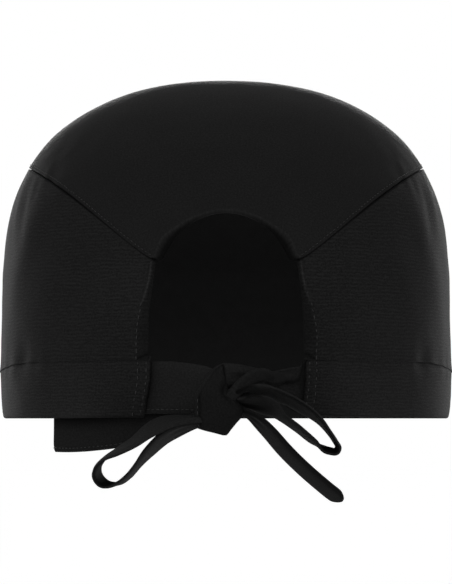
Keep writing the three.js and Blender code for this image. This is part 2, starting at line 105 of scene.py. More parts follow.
def makeStudio():
    lens = bpy.data.cameras.new("camera")
    lens.lens = studio["lens"]
    lens.sensor_width = 36
    camera = bpy.data.objects.new("camera", lens)
    scene.collection.objects.link(camera)
    camera.location = (studio["cameraAside"], -studio["cameraDistance"], 0)
    pitch = math.atan2(studio["aimHeight"], studio["cameraDistance"])
    camera.rotation_euler = (math.pi / 2 + pitch, 0, 0)
    lens.clip_start = 0.05
    lens.clip_end = 60
    scene.camera = camera

    world = bpy.data.worlds.new("studio")
    scene.world = world
    world.use_nodes = True
    # the backdrop is white, and the light is brighter from above than from below
    nodes, link = world.node_tree.nodes, world.node_tree.links.new
    background = nodes["Background"]
    background.inputs["Color"].default_value = (1, 1, 1, 1)
    way = nodes.new("ShaderNodeTexCoord")
    parts = nodes.new("ShaderNodeSeparateXYZ")
    rise = nodes.new("ShaderNodeMapRange")
    rise.inputs["From Min"].default_value = -0.5
    rise.inputs["From Max"].default_value = 0.5
    rise.inputs["To Min"].default_value = studio["lowLight"]
    rise.inputs["To Max"].default_value = studio["skyLight"]
    seen = nodes.new("ShaderNodeLightPath")
    pick = nodes.new("ShaderNodeMix")
    pick.inputs[3].default_value = 1.0
    link(way.outputs["Generated"], parts.inputs[0])
    link(parts.outputs[2], rise.inputs["Value"])
    link(seen.outputs["Is Camera Ray"], pick.inputs[0])
    link(rise.outputs[0], pick.inputs[2])
    link(pick.outputs[0], background.inputs["Strength"])
    scene.view_settings.view_transform = "Standard"

    def softbox(name, place, size, power, target=(0, 0, 0.06)):
        light = bpy.data.lights.new(name, "AREA")
        light.shape = "RECTANGLE"
        light.size, light.size_y = size
        light.energy = power
        lamp = bpy.data.objects.new(name, light)
        scene.collection.objects.link(lamp)
        lamp.location = place
        lamp.visible_camera = False
        aim = Vector(target) - Vector(place)
        lamp.rotation_euler = aim.to_track_quat("-Z", "Y").to_euler()

    softbox("keyLight", (-0.25, -1.3, 0.75), (0.9, 0.6), studio["keyLight"])
    softbox("rimLightLeft", (-0.85, 1.2, 0.2), (0.5, 0.6), studio["rimLight"])
    softbox("rimLightRight", (0.85, 1.2, 0.2), (0.5, 0.6), studio["rimLight"])
    softbox("topLight", (0, 1.5, 0.5), (0.9, 0.2), studio["topLight"])
    # light that comes up under the rim into the hollow
    softbox("hollowLight", (0, -0.2, -0.23), (0.2, 0.16), studio["hollowLight"], (0, 0.09, 0.06))

    size, drop = 12, studio["floorDrop"]
    mesh = bpy.data.meshes.new("floor")
    corners = [(-size, -size), (size, -size), (size, size), (-size, size)]
    mesh.from_pydata([(x, y, -drop) for x, y in corners], [], [(0, 1, 2, 3)])
    floor = bpy.data.objects.new("floor", mesh)
    scene.collection.objects.link(floor)
    pale = bpy.data.materials.new("paleFloor")
    pale.use_nodes = True
    surface = pale.node_tree.nodes["Principled BSDF"]
    surface.inputs["Base Color"].default_value = (0.86, 0.86, 0.86, 1)
    surface.inputs["Roughness"].default_value = 0.9
    surface.inputs["Specular IOR Level"].default_value = 0.1
    surface.inputs["Emission Color"].default_value = (1, 1, 1, 1)
    surface.inputs["Emission Strength"].default_value = studio["floorGlow"]
    mesh.materials.append(pale)
    floor.visible_diffuse = False
    floor.visible_glossy = False


makeStudio()
print("studio made")


# Materials

class Wire:
    def __init__(self, finish, socket):
        self.finish = finish
        self.socket = socket

    def maths(self, operation, *values):
        return self.finish.node("ShaderNodeMath", {"operation": operation}, values)

    def __add__(self, other):
        return self.maths("ADD", self, other)

    def __radd__(self, other):
        return self.maths("ADD", other, self)

    def __sub__(self, other):
        return self.maths("SUBTRACT", self, other)

    def __rsub__(self, other):
        return self.maths("SUBTRACT", other, self)

    def __mul__(self, other):
        return self.maths("MULTIPLY", self, other)

    def __rmul__(self, other):
        return self.maths("MULTIPLY", other, self)

    def __truediv__(self, other):
        return self.maths("DIVIDE", self, other)

    def __pow__(self, other):
        return self.maths("POWER", self, other)

    def wave(self):
        return self.maths("SINE", self)


class Finish:
    def __init__(self, name):
        self.material = bpy.data.materials.new(name)
        self.material.use_nodes = True
        self.tree = self.material.node_tree
        self.surface = self.tree.nodes["Principled BSDF"]

    def node(self, kind, settings=None, sockets=(), out=0):
        made = self.tree.nodes.new(kind)
        for name, value in (settings or {}).items():
            if name == "stops":
                ramp = made.color_ramp.elements
                while len(ramp) < len(value):
                    ramp.new(0.5)
                for element, (place, shade) in zip(ramp, value):
                    element.position = place
                    element.color = (shade, shade, shade, 1)
            else:
                setattr(made, name, value)
        pairs = sockets.items() if isinstance(sockets, dict) else enumerate(sockets)
        for key, value in pairs:
            self.feed(made.inputs[key], value)
        return Wire(self, made.outputs[out])

    def feed(self, socket, value):
        if isinstance(value, Wire):
            self.tree.links.new(value.socket, socket)
        else:
            socket.default_value = value

    def plain(self, **values):
        for name, value in values.items():
            self.surface.inputs[name.replace("_", " ")].default_value = value


clothLook = {
    "cap_cloth": {
        "dark": (0.0058, 0.0058, 0.0058),
        "light": (0.0130, 0.0130, 0.0130),
        "ribPeriod": 1.4,
        "ribShade": 0.85,
        "ribDepth": 0.045,
        "sheen": 0.015,
    },
    "crown_cloth": {
        "dark": (0.0074, 0.0074, 0.0074),
        "light": (0.0126, 0.0126, 0.0126),
        "ribPeriod": 0.9,
        "ribShade": 0.15,
        "ribDepth": 0.01,
        "sheen": 0.002,
    },
    "band_cloth": {
        "dark": (0.0065, 0.0065, 0.0065),
        "light": (0.0145, 0.0145, 0.0145),
        "ribPeriod": 1.25,
        "ribShade": 0.8,
        "ribDepth": 0.04,
        "sheen": 0.015,
    },
    "tie_cloth": {
        "dark": (0.0086, 0.0086, 0.0086),
        "light": (0.0150, 0.0150, 0.0150),
        "ribPeriod": 1.0,
        "ribShade": 0.15,
        "ribDepth": 0.012,
        "sheen": 0.003,
    },
}


def clothFinish(name):
    # woven cloth, ribbed along U, with UV in millimetres on the cloth
    look = clothLook[name]
    finish = Finish(name)
    place = finish.node("ShaderNodeUVMap", {"uv_map": "clothUV"})
    along = finish.node("ShaderNodeSeparateXYZ", None, [place], out=0)
    across = finish.node("ShaderNodeSeparateXYZ", None, [place], out=1)

    def grain(scaleAlong, scaleAcross, detail=2.0):
        spot = finish.node("ShaderNodeCombineXYZ", None, [along * scaleAlong, across * scaleAcross, 0.0])
        return finish.node(
            "ShaderNodeTexNoise",
            {"noise_dimensions": "2D"},
            {"Vector": spot, "Scale": 1.0, "Detail": detail, "Roughness": 0.6},
        )

    drift = grain(0.07, 0.16, 2.0)  # how far the ribs wander
    patches = grain(0.04, 0.05)
    broken = grain(0.3, 1.3, 2.0)  # ribs fade in and out along the cloth
    broken = finish.node("ShaderNodeClamp", None, [broken * 2.6 - 0.8])
    turn = 2 * math.pi / look["ribPeriod"]
    rib = ((across + drift * 2.2) * turn).wave() * 0.5 + 0.5
    thread = (along * (2 * math.pi / 0.55)).wave() * (across * (2 * math.pi / 0.5)).wave()
    fuzz = grain(1.25, 1.5, 2.0)
    shade = rib * broken * look["ribShade"] + fuzz * 2.4 + patches * 0.4 - 1.08
    shade = finish.node("ShaderNodeClamp", None, [shade])
    # painted shade and painted highlights: the colour is scaled by each point's shade attribute
    crease = finish.node("ShaderNodeAttribute", {"attribute_name": "shade"}, (), out=2)
    colour = finish.node(
        "ShaderNodeMix",
        {"data_type": "RGBA"},
        {6: (*look["dark"], 1), 7: (*look["light"], 1), 0: shade},
        out=2,
    )
    colour = finish.node("ShaderNodeVectorMath", {"operation": "SCALE"}, {0: colour, 3: crease})
    relief = rib * broken * look["ribDepth"] * 2.0 + thread * 0.02 + fuzz * 0.06
    bump = finish.node(
        "ShaderNodeBump", None, {"Strength": 0.7, "Distance": 0.001, "Height": relief}
    )
    finish.feed(finish.surface.inputs["Base Color"], colour)
    finish.feed(finish.surface.inputs["Roughness"], 0.86 - fuzz * 0.12)
    finish.feed(finish.surface.inputs["Normal"], bump)
    finish.plain(
        Specular_IOR_Level=0.06,
        Sheen_Weight=look["sheen"],
        Sheen_Roughness=0.3,
        Sheen_Tint=(1, 1, 1, 1),
    )
    return finish.material


def threadFinish():
    finish = Finish("black_thread")
    place = finish.node("ShaderNodeTexCoord", None, [], out=3)
    speck = finish.node("ShaderNodeTexNoise", None, {"Vector": place, "Scale": 900.0, "Detail": 2.0})
    colour = finish.node(
        "ShaderNodeMix",
        {"data_type": "RGBA"},
        {6: (0.01, 0.01, 0.01, 1), 7: (0.034, 0.034, 0.034, 1), 0: speck},
        out=2,
    )
    finish.feed(finish.surface.inputs["Base Color"], colour)
    finish.feed(finish.surface.inputs["Roughness"], 0.62 - speck * 0.2)
    finish.plain(Specular_IOR_Level=0.3, Sheen_Weight=0.05, Sheen_Roughness=0.4)
    return finish.material


finishes = {name: clothFinish(name) for name in clothLook}
finishes["thread"] = threadFinish()
print("materials made")


# Mesh making

def makePiece(name, points, faces, cloth, finish, shades=None):
    # points in millimetres, cloth holds each point's place on the flat cloth in millimetres, and
    # shades is painted light and shade: 1 on open cloth, less for painted shade in creases and under edges, more for
    # painted highlights
    mesh = bpy.data.meshes.new(name)
    mesh.from_pydata([tuple(p * millimetre) for p in points], [], faces)
    layer = mesh.uv_layers.new(name="clothUV")
    spots = np.array([(u, v) for u, v in cloth], dtype=np.float32)
    order = np.zeros(len(mesh.loops), dtype=np.int32)
    mesh.loops.foreach_get("vertex_index", order)
    layer.data.foreach_set("uv", spots[order].ravel())
    # the shade attribute holds the painted shade and painted highlights that the cloth materials multiply into their
    # colour
    dark = mesh.attributes.new("shade", "FLOAT", "POINT")
    dark.data.foreach_set("value", shades or [1.0] * len(points))
    corners = np.array([tuple(p) for p in points])
    volume = 0.0
    for face in faces:
        for i in range(1, len(face) - 1):
            volume += np.dot(corners[face[0]], np.cross(corners[face[i]], corners[face[i + 1]]))
    if volume < 0:
        mesh.flip_normals()
    mesh.shade_smooth()
    mesh.materials.append(finish)
    mesh.validate()
    piece = bpy.data.objects.new(name, mesh)
    scene.collection.objects.link(piece)
    return piece


# how much finer the texture of the inner faces is
innerTexture = 4.0


def shellPiece(name, outer, inner, cloth, shade, finish, ring=False, dome=False):
    # outer and inner are grids that meet at their open borders
    rows, columns = len(outer), len(outer[0])
    points, spots, shades, faces = [], [], [], []
    index = {}

    def add(grid, side):
        for row in range(rows):
            pole = dome and row == rows - 1
            for column in range(columns):
                border = row == 0 or (not dome and row == rows - 1)
                border = border or (not ring and column in (0, columns - 1))
                if side == 1 and border:
                    index[side, row, column] = index[0, row, column]
                    continue
                if pole and column > 0:
                    index[side, row, column] = index[side, row, 0]
                    continue
                index[side, row, column] = len(points)
                points.append(grid[row][column])
                coarse = innerTexture if side == 1 else 1.0
                spots.append((cloth[row][column][0] * coarse, cloth[row][column][1] * coarse))
                shades.append(shade[row][column] if side == 0 else 1.0)

    add(outer, 0)
    add(inner, 1)
    spans = columns if ring else columns - 1
    for row in range(rows - 1):
        for column in range(spans):
            after = (column + 1) % columns
            for side in (0, 1):
                loop = [
                    index[side, row, column],
                    index[side, row, after],
                    index[side, row + 1, after],
                    index[side, row + 1, column],
                ]
                if side == 1:
                    loop.reverse()
                kept = [a for i, a in enumerate(loop) if a != loop[i - 1]]
                if len(set(kept)) > 2:
                    faces.append(kept)
    return makePiece(name, points, faces, spots, finish, shades)


# The form of the cap, as in the part's source

cap = {
    "width": 184,
    "depth": 204,
    "height": 137.3,
    "squareness": 2.2,
    "frontNarrowing": 2.5,
    "lean": 1.45,
    "leanEasing": 0.4,
    "cloth": 1.2,
    "foldDepth": 1.2,
}
profiles = {
    "side": (0.373, 2.73, 2.15),
    "back": (0.3, 2.3, 2.05),
    "front": (0.47, 2.5, 2.25),
}
# angle, height as a share, half-width in degrees, half-height as a share, slant in degrees for each
# share of the height, depth as a share
folds = [
    (-59, 0.50, 6, 0.19, 32, -0.6),
    (-54, 0.68, 4, 0.06, 0, 0.5),
    (-45, 0.79, 5, 0.06, 0, 0.3),
    (-57, 0.16, 4, 0.05, 0, 0.5),
    (59, 0.50, 6, 0.19, -32, -0.6),
    (54, 0.68, 4, 0.06, 0, 0.45),
    (46, 0.80, 5, 0.06, 0, 0.25),
    (56, 0.16, 4, 0.05, 0, 0.5),
    (-128, 0.50, 8, 0.20, 0, 0.7),
    (124, 0.45, 8, 0.20, 0, 0.7),
    # finer ones beside the seam, on the sides and above the band
    (-64, 0.60, 2.2, 0.10, -25, 0.3),
    (-70, 0.62, 2.2, 0.10, -25, -0.25),
    (-57, 0.70, 1.6, 0.04, -20, -0.25),
    (-60, 0.66, 1.8, 0.04, -20, 0.25),
    (64, 0.60, 2.2, 0.10, 25, 0.3),
    (70, 0.62, 2.2, 0.10, 25, -0.25),
    (57, 0.70, 1.6, 0.04, 20, -0.25),
    (60, 0.66, 1.8, 0.04, 20, 0.25),
]
# how far the cloth bulges out of the plain form: height, reach
bulge = [
    (20, -0.1), (26, -0.06), (32, 0.04), (40, 0.08), (48, 0.28), (56, 0.2), (65, -0.18),
    (81, -0.2), (97, -0.4), (105, 0.0), (114, 0.35), (120, 0.35), (128, 0.2), (137.3, 0.0),
]
band = {
    "thickness": 2.0,
    "height": 18.6,
    "riseAtBack": 3.2,
    "tallSpan": 50,
    "levelFrom": 90,
    "setback": 0.4,
    "liftRight": 1.2,
    "liftLeft": 0.4,
    "liftSpan": 62,
}
opening = {
    "widthFoot": 61.2,
    "widthTop": 56.6,
    "archFoot": 59.4,
    "seamHeight": 104.5,
    "seamSweep": 30.4,
    "seamEasing": 1.2,
    "reach": 93.5,
}
# The opening's side edges and the folds or stitches of its hems: height, distance from the middle.
# "reach" above is the length of cloth there for each radian round the cap.
sideEdges = {
    -1: [(18, 29.2), (22, 29.1), (34, 29.0), (40, 28.9), (44, 28.5), (47, 28.1), (50, 27.6), (53, 27.2), (58, 26.7)],
    1: [(18, 29.4), (22, 29.4), (34, 29.2), (40, 29.0), (43, 28.8), (47, 28.3), (50, 28.1), (53, 27.6), (58, 27.0)],
}
sideFolds = {
    -1: [
        (22, 33.8), (25, 33.9), (32, 33.8), (34.7, 33.5), (37.3, 33.0), (42.2, 32.0),
        (44, 31.0), (46.3, 30.2), (49.2, 29.3), (52.2, 28.6), (55.2, 28.2), (58, 28.0),
    ],
    1: [
        (22, 33.9), (29.5, 34.3), (32.1, 34.2), (34.7, 33.9), (37.1, 33.4), (42.3, 32.4),
        (43.3, 31.4), (46.3, 30.5), (49.2, 29.4), (52.2, 28.8), (55.2, 28.4), (58, 28.2),
    ],
}
# The arch, from its foot to its top: the lit edge where the cloth turns in, and the end of the part
# that is turned in. Each is a distance from the middle and a height.
archRows = [
    ((28.3, 60.0), (28.3, 59.0)),
    ((26.9, 60.7), (26.2, 59.0)),
    ((26.3, 62.4), (24.4, 59.6)),
    ((25.5, 64.8), (23.4, 61.4)),
    ((24.5, 66.9), (22.2, 63.6)),
    ((22.9, 68.7), (20.9, 65.9)),
    ((21.0, 70.0), (19.5, 68.0)),
    ((19.2, 71.2), (18.0, 69.6)),
    ((17.0, 72.6), (16.0, 71.2)),
    ((14.4, 74.1), (13.6, 72.9)),
    ((11.6, 75.4), (11.0, 74.4)),
    ((7.8, 76.7), (7.5, 75.8)),
    ((3.9, 77.6), (3.8, 76.8)),
    ((0.0, 77.9), (0.0, 77.1)),
]


def profileAt(angle):
    sideways = math.sin(angle) ** 2
    end = profiles["back"] if math.cos(angle) > 0 else profiles["front"]
    side = profiles["side"]
    return (
        mix(end[0], side[0], sideways) * cap["height"],
        mix(end[1], side[1], sideways),
        mix(end[2], side[2], sideways),
    )


def wrapped(angle):
    return math.atan2(math.sin(angle), math.cos(angle))


def foldAt(angle, height):
    depth = 0.0
    for at, rise, across, up, slant, share in folds:
        above = height / cap["height"] - rise
        x = wrapped(angle - math.radians(at + slant * above)) / math.radians(across)
        y = above / up
        if x * x + y * y < 9:
            depth += share * cap["foldDepth"] * math.exp(-x * x - y * y)
    return depth


def capPoint(angle, height, inset=0.0):
    shoulder, fullness, roundness = profileAt(angle)
    inward = inset + foldAt(angle, height) - tableAt(bulge, height)
    share = clamp((height - shoulder) / (cap["height"] - shoulder))
    closing = (1 - share ** fullness) ** (1 / roundness)
    lean = cap["lean"] * clamp((height - band["height"]) / (shoulder - band["height"])) ** cap["leanEasing"]
    ahead = max(0.0, -math.cos(angle))
    narrow = cap["frontNarrowing"] * ahead * abs(math.sin(angle))
    acrossReach = cap["width"] / 2 - lean - inward - narrow
    alongReach = cap["depth"] / 2 - lean - inward
    power = 2 / cap["squareness"]
    return Vector((
        acrossReach * closing * signedPower(math.sin(angle), power),
        -alongReach * closing * signedPower(math.cos(angle), power),
        height - inset * share,
    ))


def angleAcross(across, height):
    reach = capPoint(math.pi / 2, height).x + foldAt(math.pi / 2, height)
    return math.asin(min(1.0, across / reach) ** (cap["squareness"] / 2))


def openingHalf(height):
    return mix(opening["widthFoot"], opening["widthTop"], height / opening["archFoot"]) / 2


archAngle = angleAcross(opening["widthTop"] / 2, opening["archFoot"])


def seamAt(angle):
    fromEdge = max(0.0, abs(wrapped(angle)) - archAngle)
    rise = opening["seamHeight"] - opening["archFoot"]
    climb = (fromEdge / math.radians(opening["seamSweep"])) ** opening["seamEasing"]
    return opening["seamHeight"] - rise * math.exp(-climb)


def bandTopAt(angle):
    fromBack = math.degrees(abs(wrapped(angle)))
    return band["height"] + band["riseAtBack"] * (1 - smooth(fromBack, band["tallSpan"], band["levelFrom"]))


def bandFootAt(angle):
    turned = math.degrees(wrapped(angle))
    lift = band["liftRight"] if turned > 0 else band["liftLeft"]
    other = band["liftLeft"] if turned > 0 else band["liftRight"]
    return lift * (1 - smooth(abs(turned), 0, band["liftSpan"])) + other * (
        1 - smooth(360 - abs(turned), 0, band["liftSpan"])
    )


def surfaceFrame(angle, height, inset=0.0):
    # point, direction round the cap, direction up the cap, outward normal
    step = 0.002
    here = capPoint(angle, height, inset)
    round_ = (capPoint(angle + step, height, inset) - capPoint(angle - step, height, inset)).normalized()
    up = (capPoint(angle, height + 0.2, inset) - capPoint(angle, height - 0.2, inset)).normalized()
    return here, round_, up, round_.cross(up).normalized()


def edgeSteps(total, near, count):
    # places from 0 to total: close together within the distances of "near", even after that
    rest = [mix(near[-1], total, (i + 1) / count) for i in range(count)]
    return near + rest


class SeamLine:
    # a line on the cap that relief and stitches are measured from
    def __init__(self, points):
        self.points = points
        self.tree = kdtree.KDTree(len(points))
        for i, p in enumerate(points):
            self.tree.insert(p, i)
        self.tree.balance()
        self.run = [0.0]
        for a, b in zip(points, points[1:]):
            self.run.append(self.run[-1] + (b - a).length)

    def near(self, p):
        # distance from the line and place along it
        _, i, best = self.tree.find(p)
        along = self.run[i]
        for j in (i - 1, i):
            if 0 <= j < len(self.points) - 1:
                a, b = self.points[j], self.points[j + 1]
                side = b - a
                share = clamp((p - a).dot(side) / side.length_squared)
                gap = (p - a - side * share).length
                if gap < best:
                    best, along = gap, mix(self.run[j], self.run[j + 1], share)
        return best, along


def anglesRound(start, end, count):
    return [mix(start, end, i / count) for i in range(count + 1)]


seamLine = SeamLine([capPoint(a, seamAt(a)) for a in anglesRound(archAngle, 2 * math.pi - archAngle, 900)])


def archPoint(share, side):
    # share goes from -1 at the left foot of the arch to 1 at its right foot, and side picks the lit
    # edge (0) or the end of the part that is turned in (1)
    rows = len(archRows) - 1
    place = (1 - abs(share)) * rows
    i = min(int(place), rows - 1)
    points = [archRows[j][side] for j in (max(i - 1, 0), i, i + 1, min(i + 2, rows))]
    across, height = (curved(*values, place - i) for values in zip(*points))
    return math.copysign(angleAcross(max(0.0, across), height), share), height


archLine = SeamLine([capPoint(*archPoint(i / 80 - 1, 0)) for i in range(161)])

crownLook = {
    "archColumns": 84,
    "seamColumns": 330,
    "edgeRows": [0, 0.12, 0.3, 0.55, 0.85, 1.2, 1.6, 2.0, 2.5, 3.1, 3.9, 4.9, 6.1, 7.5],
    "lip": 0.85,
    "lipDepth": 1.5,
    "moreRows": 40,
    "edgeRadius": 0.3,
    "seamRidge": 0.1,
    "archRidge": 0.3,
    "puckers": 0.05,
}
# short puckers of the crown above its seam: angle, height as a share, length, width, depth in mm
crownPuckers = [
    (-62, 0.755, 5.0, 1.1, -0.16),
    (-57, 0.75, 5.5, 1.2, 0.16),
    (-52, 0.745, 5.0, 1.1, -0.14),
    (-66, 0.775, 4.5, 1.2, 0.14),
    (62, 0.755, 5.0, 1.1, -0.16),
    (57, 0.75, 5.5, 1.2, 0.16),
    (52, 0.74, 5.0, 1.1, -0.14),
    (66, 0.775, 4.5, 1.2, 0.14),
]


def rounded(distance, radius):
    # how far a rolled edge falls back near the border
    share = clamp(distance / radius)
    return radius * (1 - math.sqrt(1 - (1 - share) ** 2))


def crownRelief(p):
    fromSeam, alongSeam = seamLine.near(p)
    fromArch, _ = archLine.near(p)
    look = crownLook
    rise = look["seamRidge"] * (1 - smooth(fromSeam, 1.4, 2.8)) - 0.07 * bell(fromSeam - 1.5, 0.4)
    rise += look["puckers"] * math.sin(alongSeam / 1.6 + 2 * math.sin(alongSeam / 17)) * math.exp(-fromSeam / 5)
    rise += look["archRidge"] * (1 - smooth(fromArch, 3.0, 6.0))
    for line, (at, level, length, width, depth) in crownPuckerLines:
        offset = p - at
        if offset.length < 3 * length:
            along = offset.dot(line)
            aside = (offset - line * along).length
            rise -= depth * bell(along, length) * bell(aside, width)
    rise += 0.22 * noise.noise(p * 0.03) + 0.1 * noise.noise(p * 0.09)
    return rise


def puckerLines():
    # each pucker runs up the dome, leaning towards the middle of the back
    lines = []
    for at, level, length, width, depth in crownPuckers:
        angle = math.radians(at)
        here, around, up, _ = surfaceFrame(angle, level * cap["height"])
        line = (up - around * math.copysign(0.75, at)).normalized()
        lines.append((line, (here, level, length, width, depth)))
    return lines


crownPuckerLines = puckerLines()


def makeCrown():
    look = crownLook
    columns = []  # angle and height of the lit edge and of the border
    for i in range(look["archColumns"]):
        share = 2 * i / look["archColumns"] - 1
        columns.append((archPoint(share, 0), archPoint(share, 1), abs(share)))
    for i in range(look["seamColumns"]):
        angle = mix(archAngle, 2 * math.pi - archAngle, i / look["seamColumns"])
        columns.append(((angle, seamAt(angle) + 0.1), None, 1.0))
    outer, inner, cloth, shade = [], [], [], []
    near = look["edgeRows"]
    rows = len(near) + look["moreRows"]
    climbs = []
    for (angle, low), _, _ in columns:
        shoulder, fullness, _ = profileAt(angle)
        start = math.asin(((low - shoulder) / (cap["height"] - shoulder)) ** (fullness / 2))
        length, last, runs = 0.0, None, []
        for i in range(25):
            swing = mix(start, math.pi / 2, i / 24)
            height = shoulder + (cap["height"] - shoulder) * math.sin(swing) ** (2 / fullness)
            p = capPoint(angle, height)
            if last is not None:
                length += (p - last).length
            runs.append((length, swing))
            last = p
        climbs.append((runs, length, shoulder, fullness))
    for row in range(rows):
        outerRow, innerRow, clothRow, shadeRow = [], [], [], []
        for ((angle, low), border, side), (runs, length, shoulder, fullness) in zip(columns, climbs):
            place = edgeSteps(length, near, look["moreRows"])[row]
            edge = rounded(place, look["edgeRadius"])
            dark = 1.0
            if border:
                place = max(0.0, place - look["lip"] * (1 - place / length))
            swing = math.pi / 2
            for (l0, s0), (l1, s1) in zip(runs, runs[1:]):
                if place <= l1:
                    swing = mix(s0, s1, (place - l0) / (l1 - l0))
                    break
            if row == rows - 1:
                swing = math.pi / 2
            height = shoulder + (cap["height"] - shoulder) * math.sin(swing) ** (2 / fullness)
            if border:
                # the part that is turned in below the lit edge
                share = clamp(near[min(row, len(near) - 1)] / look["lip"])
                angle, height = mix(border[0], angle, share), mix(border[1], height, share)
                edge = look["lipDepth"] * (1 - share) ** 1.3 * (0.4 + 0.6 * smooth(side, 0.2, 0.6))
                # painted shade on the part turned in, darkest at its border and towards the feet of the arch, and a
                # painted highlight just above the lit edge
                deep = mix(0.75, 0.13, smooth(side, 0.05, 0.45))
                dark = mix(deep, 1.0, smooth(share, 0.3, 1.0))
                if row < len(near):
                    dark += 0.3 * bell(near[row] - look["lip"] - 0.15, 0.3)
            plain = capPoint(angle, height)
            fade = 1 - smooth(place, length * 0.9, length)
            rise = crownRelief(plain) * fade * smooth(edge, 0.5, 0.0)
            outerRow.append(capPoint(angle, height, edge - rise))
            innerRow.append(capPoint(angle, height, max(cap["cloth"], edge + 0.35) - (0 if border else edge)))
            reach = length - place
            heading = math.atan2(plain.x, -plain.y) if plain.xy.length > 0.01 else 0
            clothRow.append((reach * math.sin(heading), -reach * math.cos(heading)))
            # painted shade at the crown's lower edge along the seam, where the crown overlaps the wall
            if not border:
                dark = mix(0.08, 1.0, smooth(place, 0.1, 0.7))
            shadeRow.append(dark)
        outer.append(outerRow)
        inner.append(innerRow)
        cloth.append(clothRow)
        shade.append(shadeRow)
    finish = finishes["crown_cloth"]
    return shellPiece("crown_cloth", outer, inner, cloth, shade, finish, ring=True, dome=True)


wallLook = {
    "columns": 320,
    "edgeColumns": [0, 0.12, 0.3, 0.55, 0.85, 1.2, 1.6, 2.0, 2.5, 3.0, 3.5, 4.0, 4.4, 4.8, 5.2, 5.8, 6.6, 8],
    "bottomRows": [0, 0.12, 0.3, 0.55, 0.9, 1.4, 2.0, 2.8, 3.8],
    "middleRows": 34,
    "topRows": [3.0, 2.2, 1.5, 1.0, 0.6, 0.3, 0.1],
    "tuck": [0.25, 0.9, 1.8, 2.2],
    "edgeRadius": 0.5,
    "lowRadius": 0.25,
    "overlap": 0.15,
    "tuckDepth": 1.25,
    "hemRidge": 0.7,
    "hemSink": 0.3,
    "seamPuckers": 0.05,
    "lowPuckers": 0.22,
}


def besideOpening(side, height):
    # the opening's edge and the width of its hem there
    edge = tableAt(sideEdges[side], height)
    return edge, tableAt(sideFolds[side], height) - edge


def wallRelief(p, angle, height, fromEdge, hem):
    look = wallLook
    fromSeam, alongSeam = seamLine.near(p)
    folded = smooth(height, 41.5, 45) * (1 - smooth(height, 57, 60))
    beyond = fromEdge - hem
    rise = look["hemRidge"] * bell(beyond, 0.5) * folded
    rise -= 0.16 * bell(beyond, 0.4) * (1 - smooth(height, 40, 45))
    rise -= look["hemSink"] * (1 - smooth(beyond, -0.8, 0.1)) * smooth(height, 20, 24)
    rise -= 0.05 * math.exp(-fromSeam / 1.2)
    rise += look["seamPuckers"] * math.sin(alongSeam / 1.5 + 2 * math.sin(alongSeam / 13)) * math.exp(-fromSeam / 4)
    fromBand = height - bandTopAt(angle)
    side = abs(math.degrees(wrapped(angle)))
    puckers = look["lowPuckers"] * (0.25 + bell(side - 57, 8) + 0.5 * bell(side - 75, 8))
    rise += puckers * math.sin(angle * 62 + 3 * math.sin(angle * 9)) * math.exp(-fromBand / 3.5)
    rise -= 0.4 * bell(creaseAbove(angle, height, fromEdge, hem), 0.6)
    rise += 0.25 * noise.noise(p * 0.028 + Vector((7, 0, 0))) + 0.12 * noise.noise(p * 0.08)
    return rise


def creaseAbove(angle, height, fromEdge, hem):
    # distance from the crease that crosses the hem above the band
    lift = height - bandTopAt(angle) - 0.4 - 1.8 * clamp((hem - fromEdge) / hem)
    return lift + 6 * smooth(fromEdge - hem, -0.6, 1.0)


def wallShade(height, angle, fromEdge, hem):
    # painted shade on the hem strip beside the opening, darker near the edge and higher up, a painted highlight on the
    # ridge of the hem's fold, and painted shade in the crease above the band
    beyond = fromEdge - hem
    inside = 1 - smooth(beyond, -1.0, 0.3)
    paintedHemShade = mix(0.86, 0.7, smooth(height, 24, 31)) - 0.14 * clamp(1 - fromEdge / 3.5)
    paintedHemShade = mix(paintedHemShade, 0.5, smooth(height, 45, 49))
    folded = smooth(height, 41.5, 45) * (1 - smooth(height, 57, 60))
    dark = mix(1.0, paintedHemShade, inside) + 1.1 * folded * bell(beyond, 0.3)
    dark *= 1 - 0.6 * bell(creaseAbove(angle, height, fromEdge, hem), 0.75)
    return dark


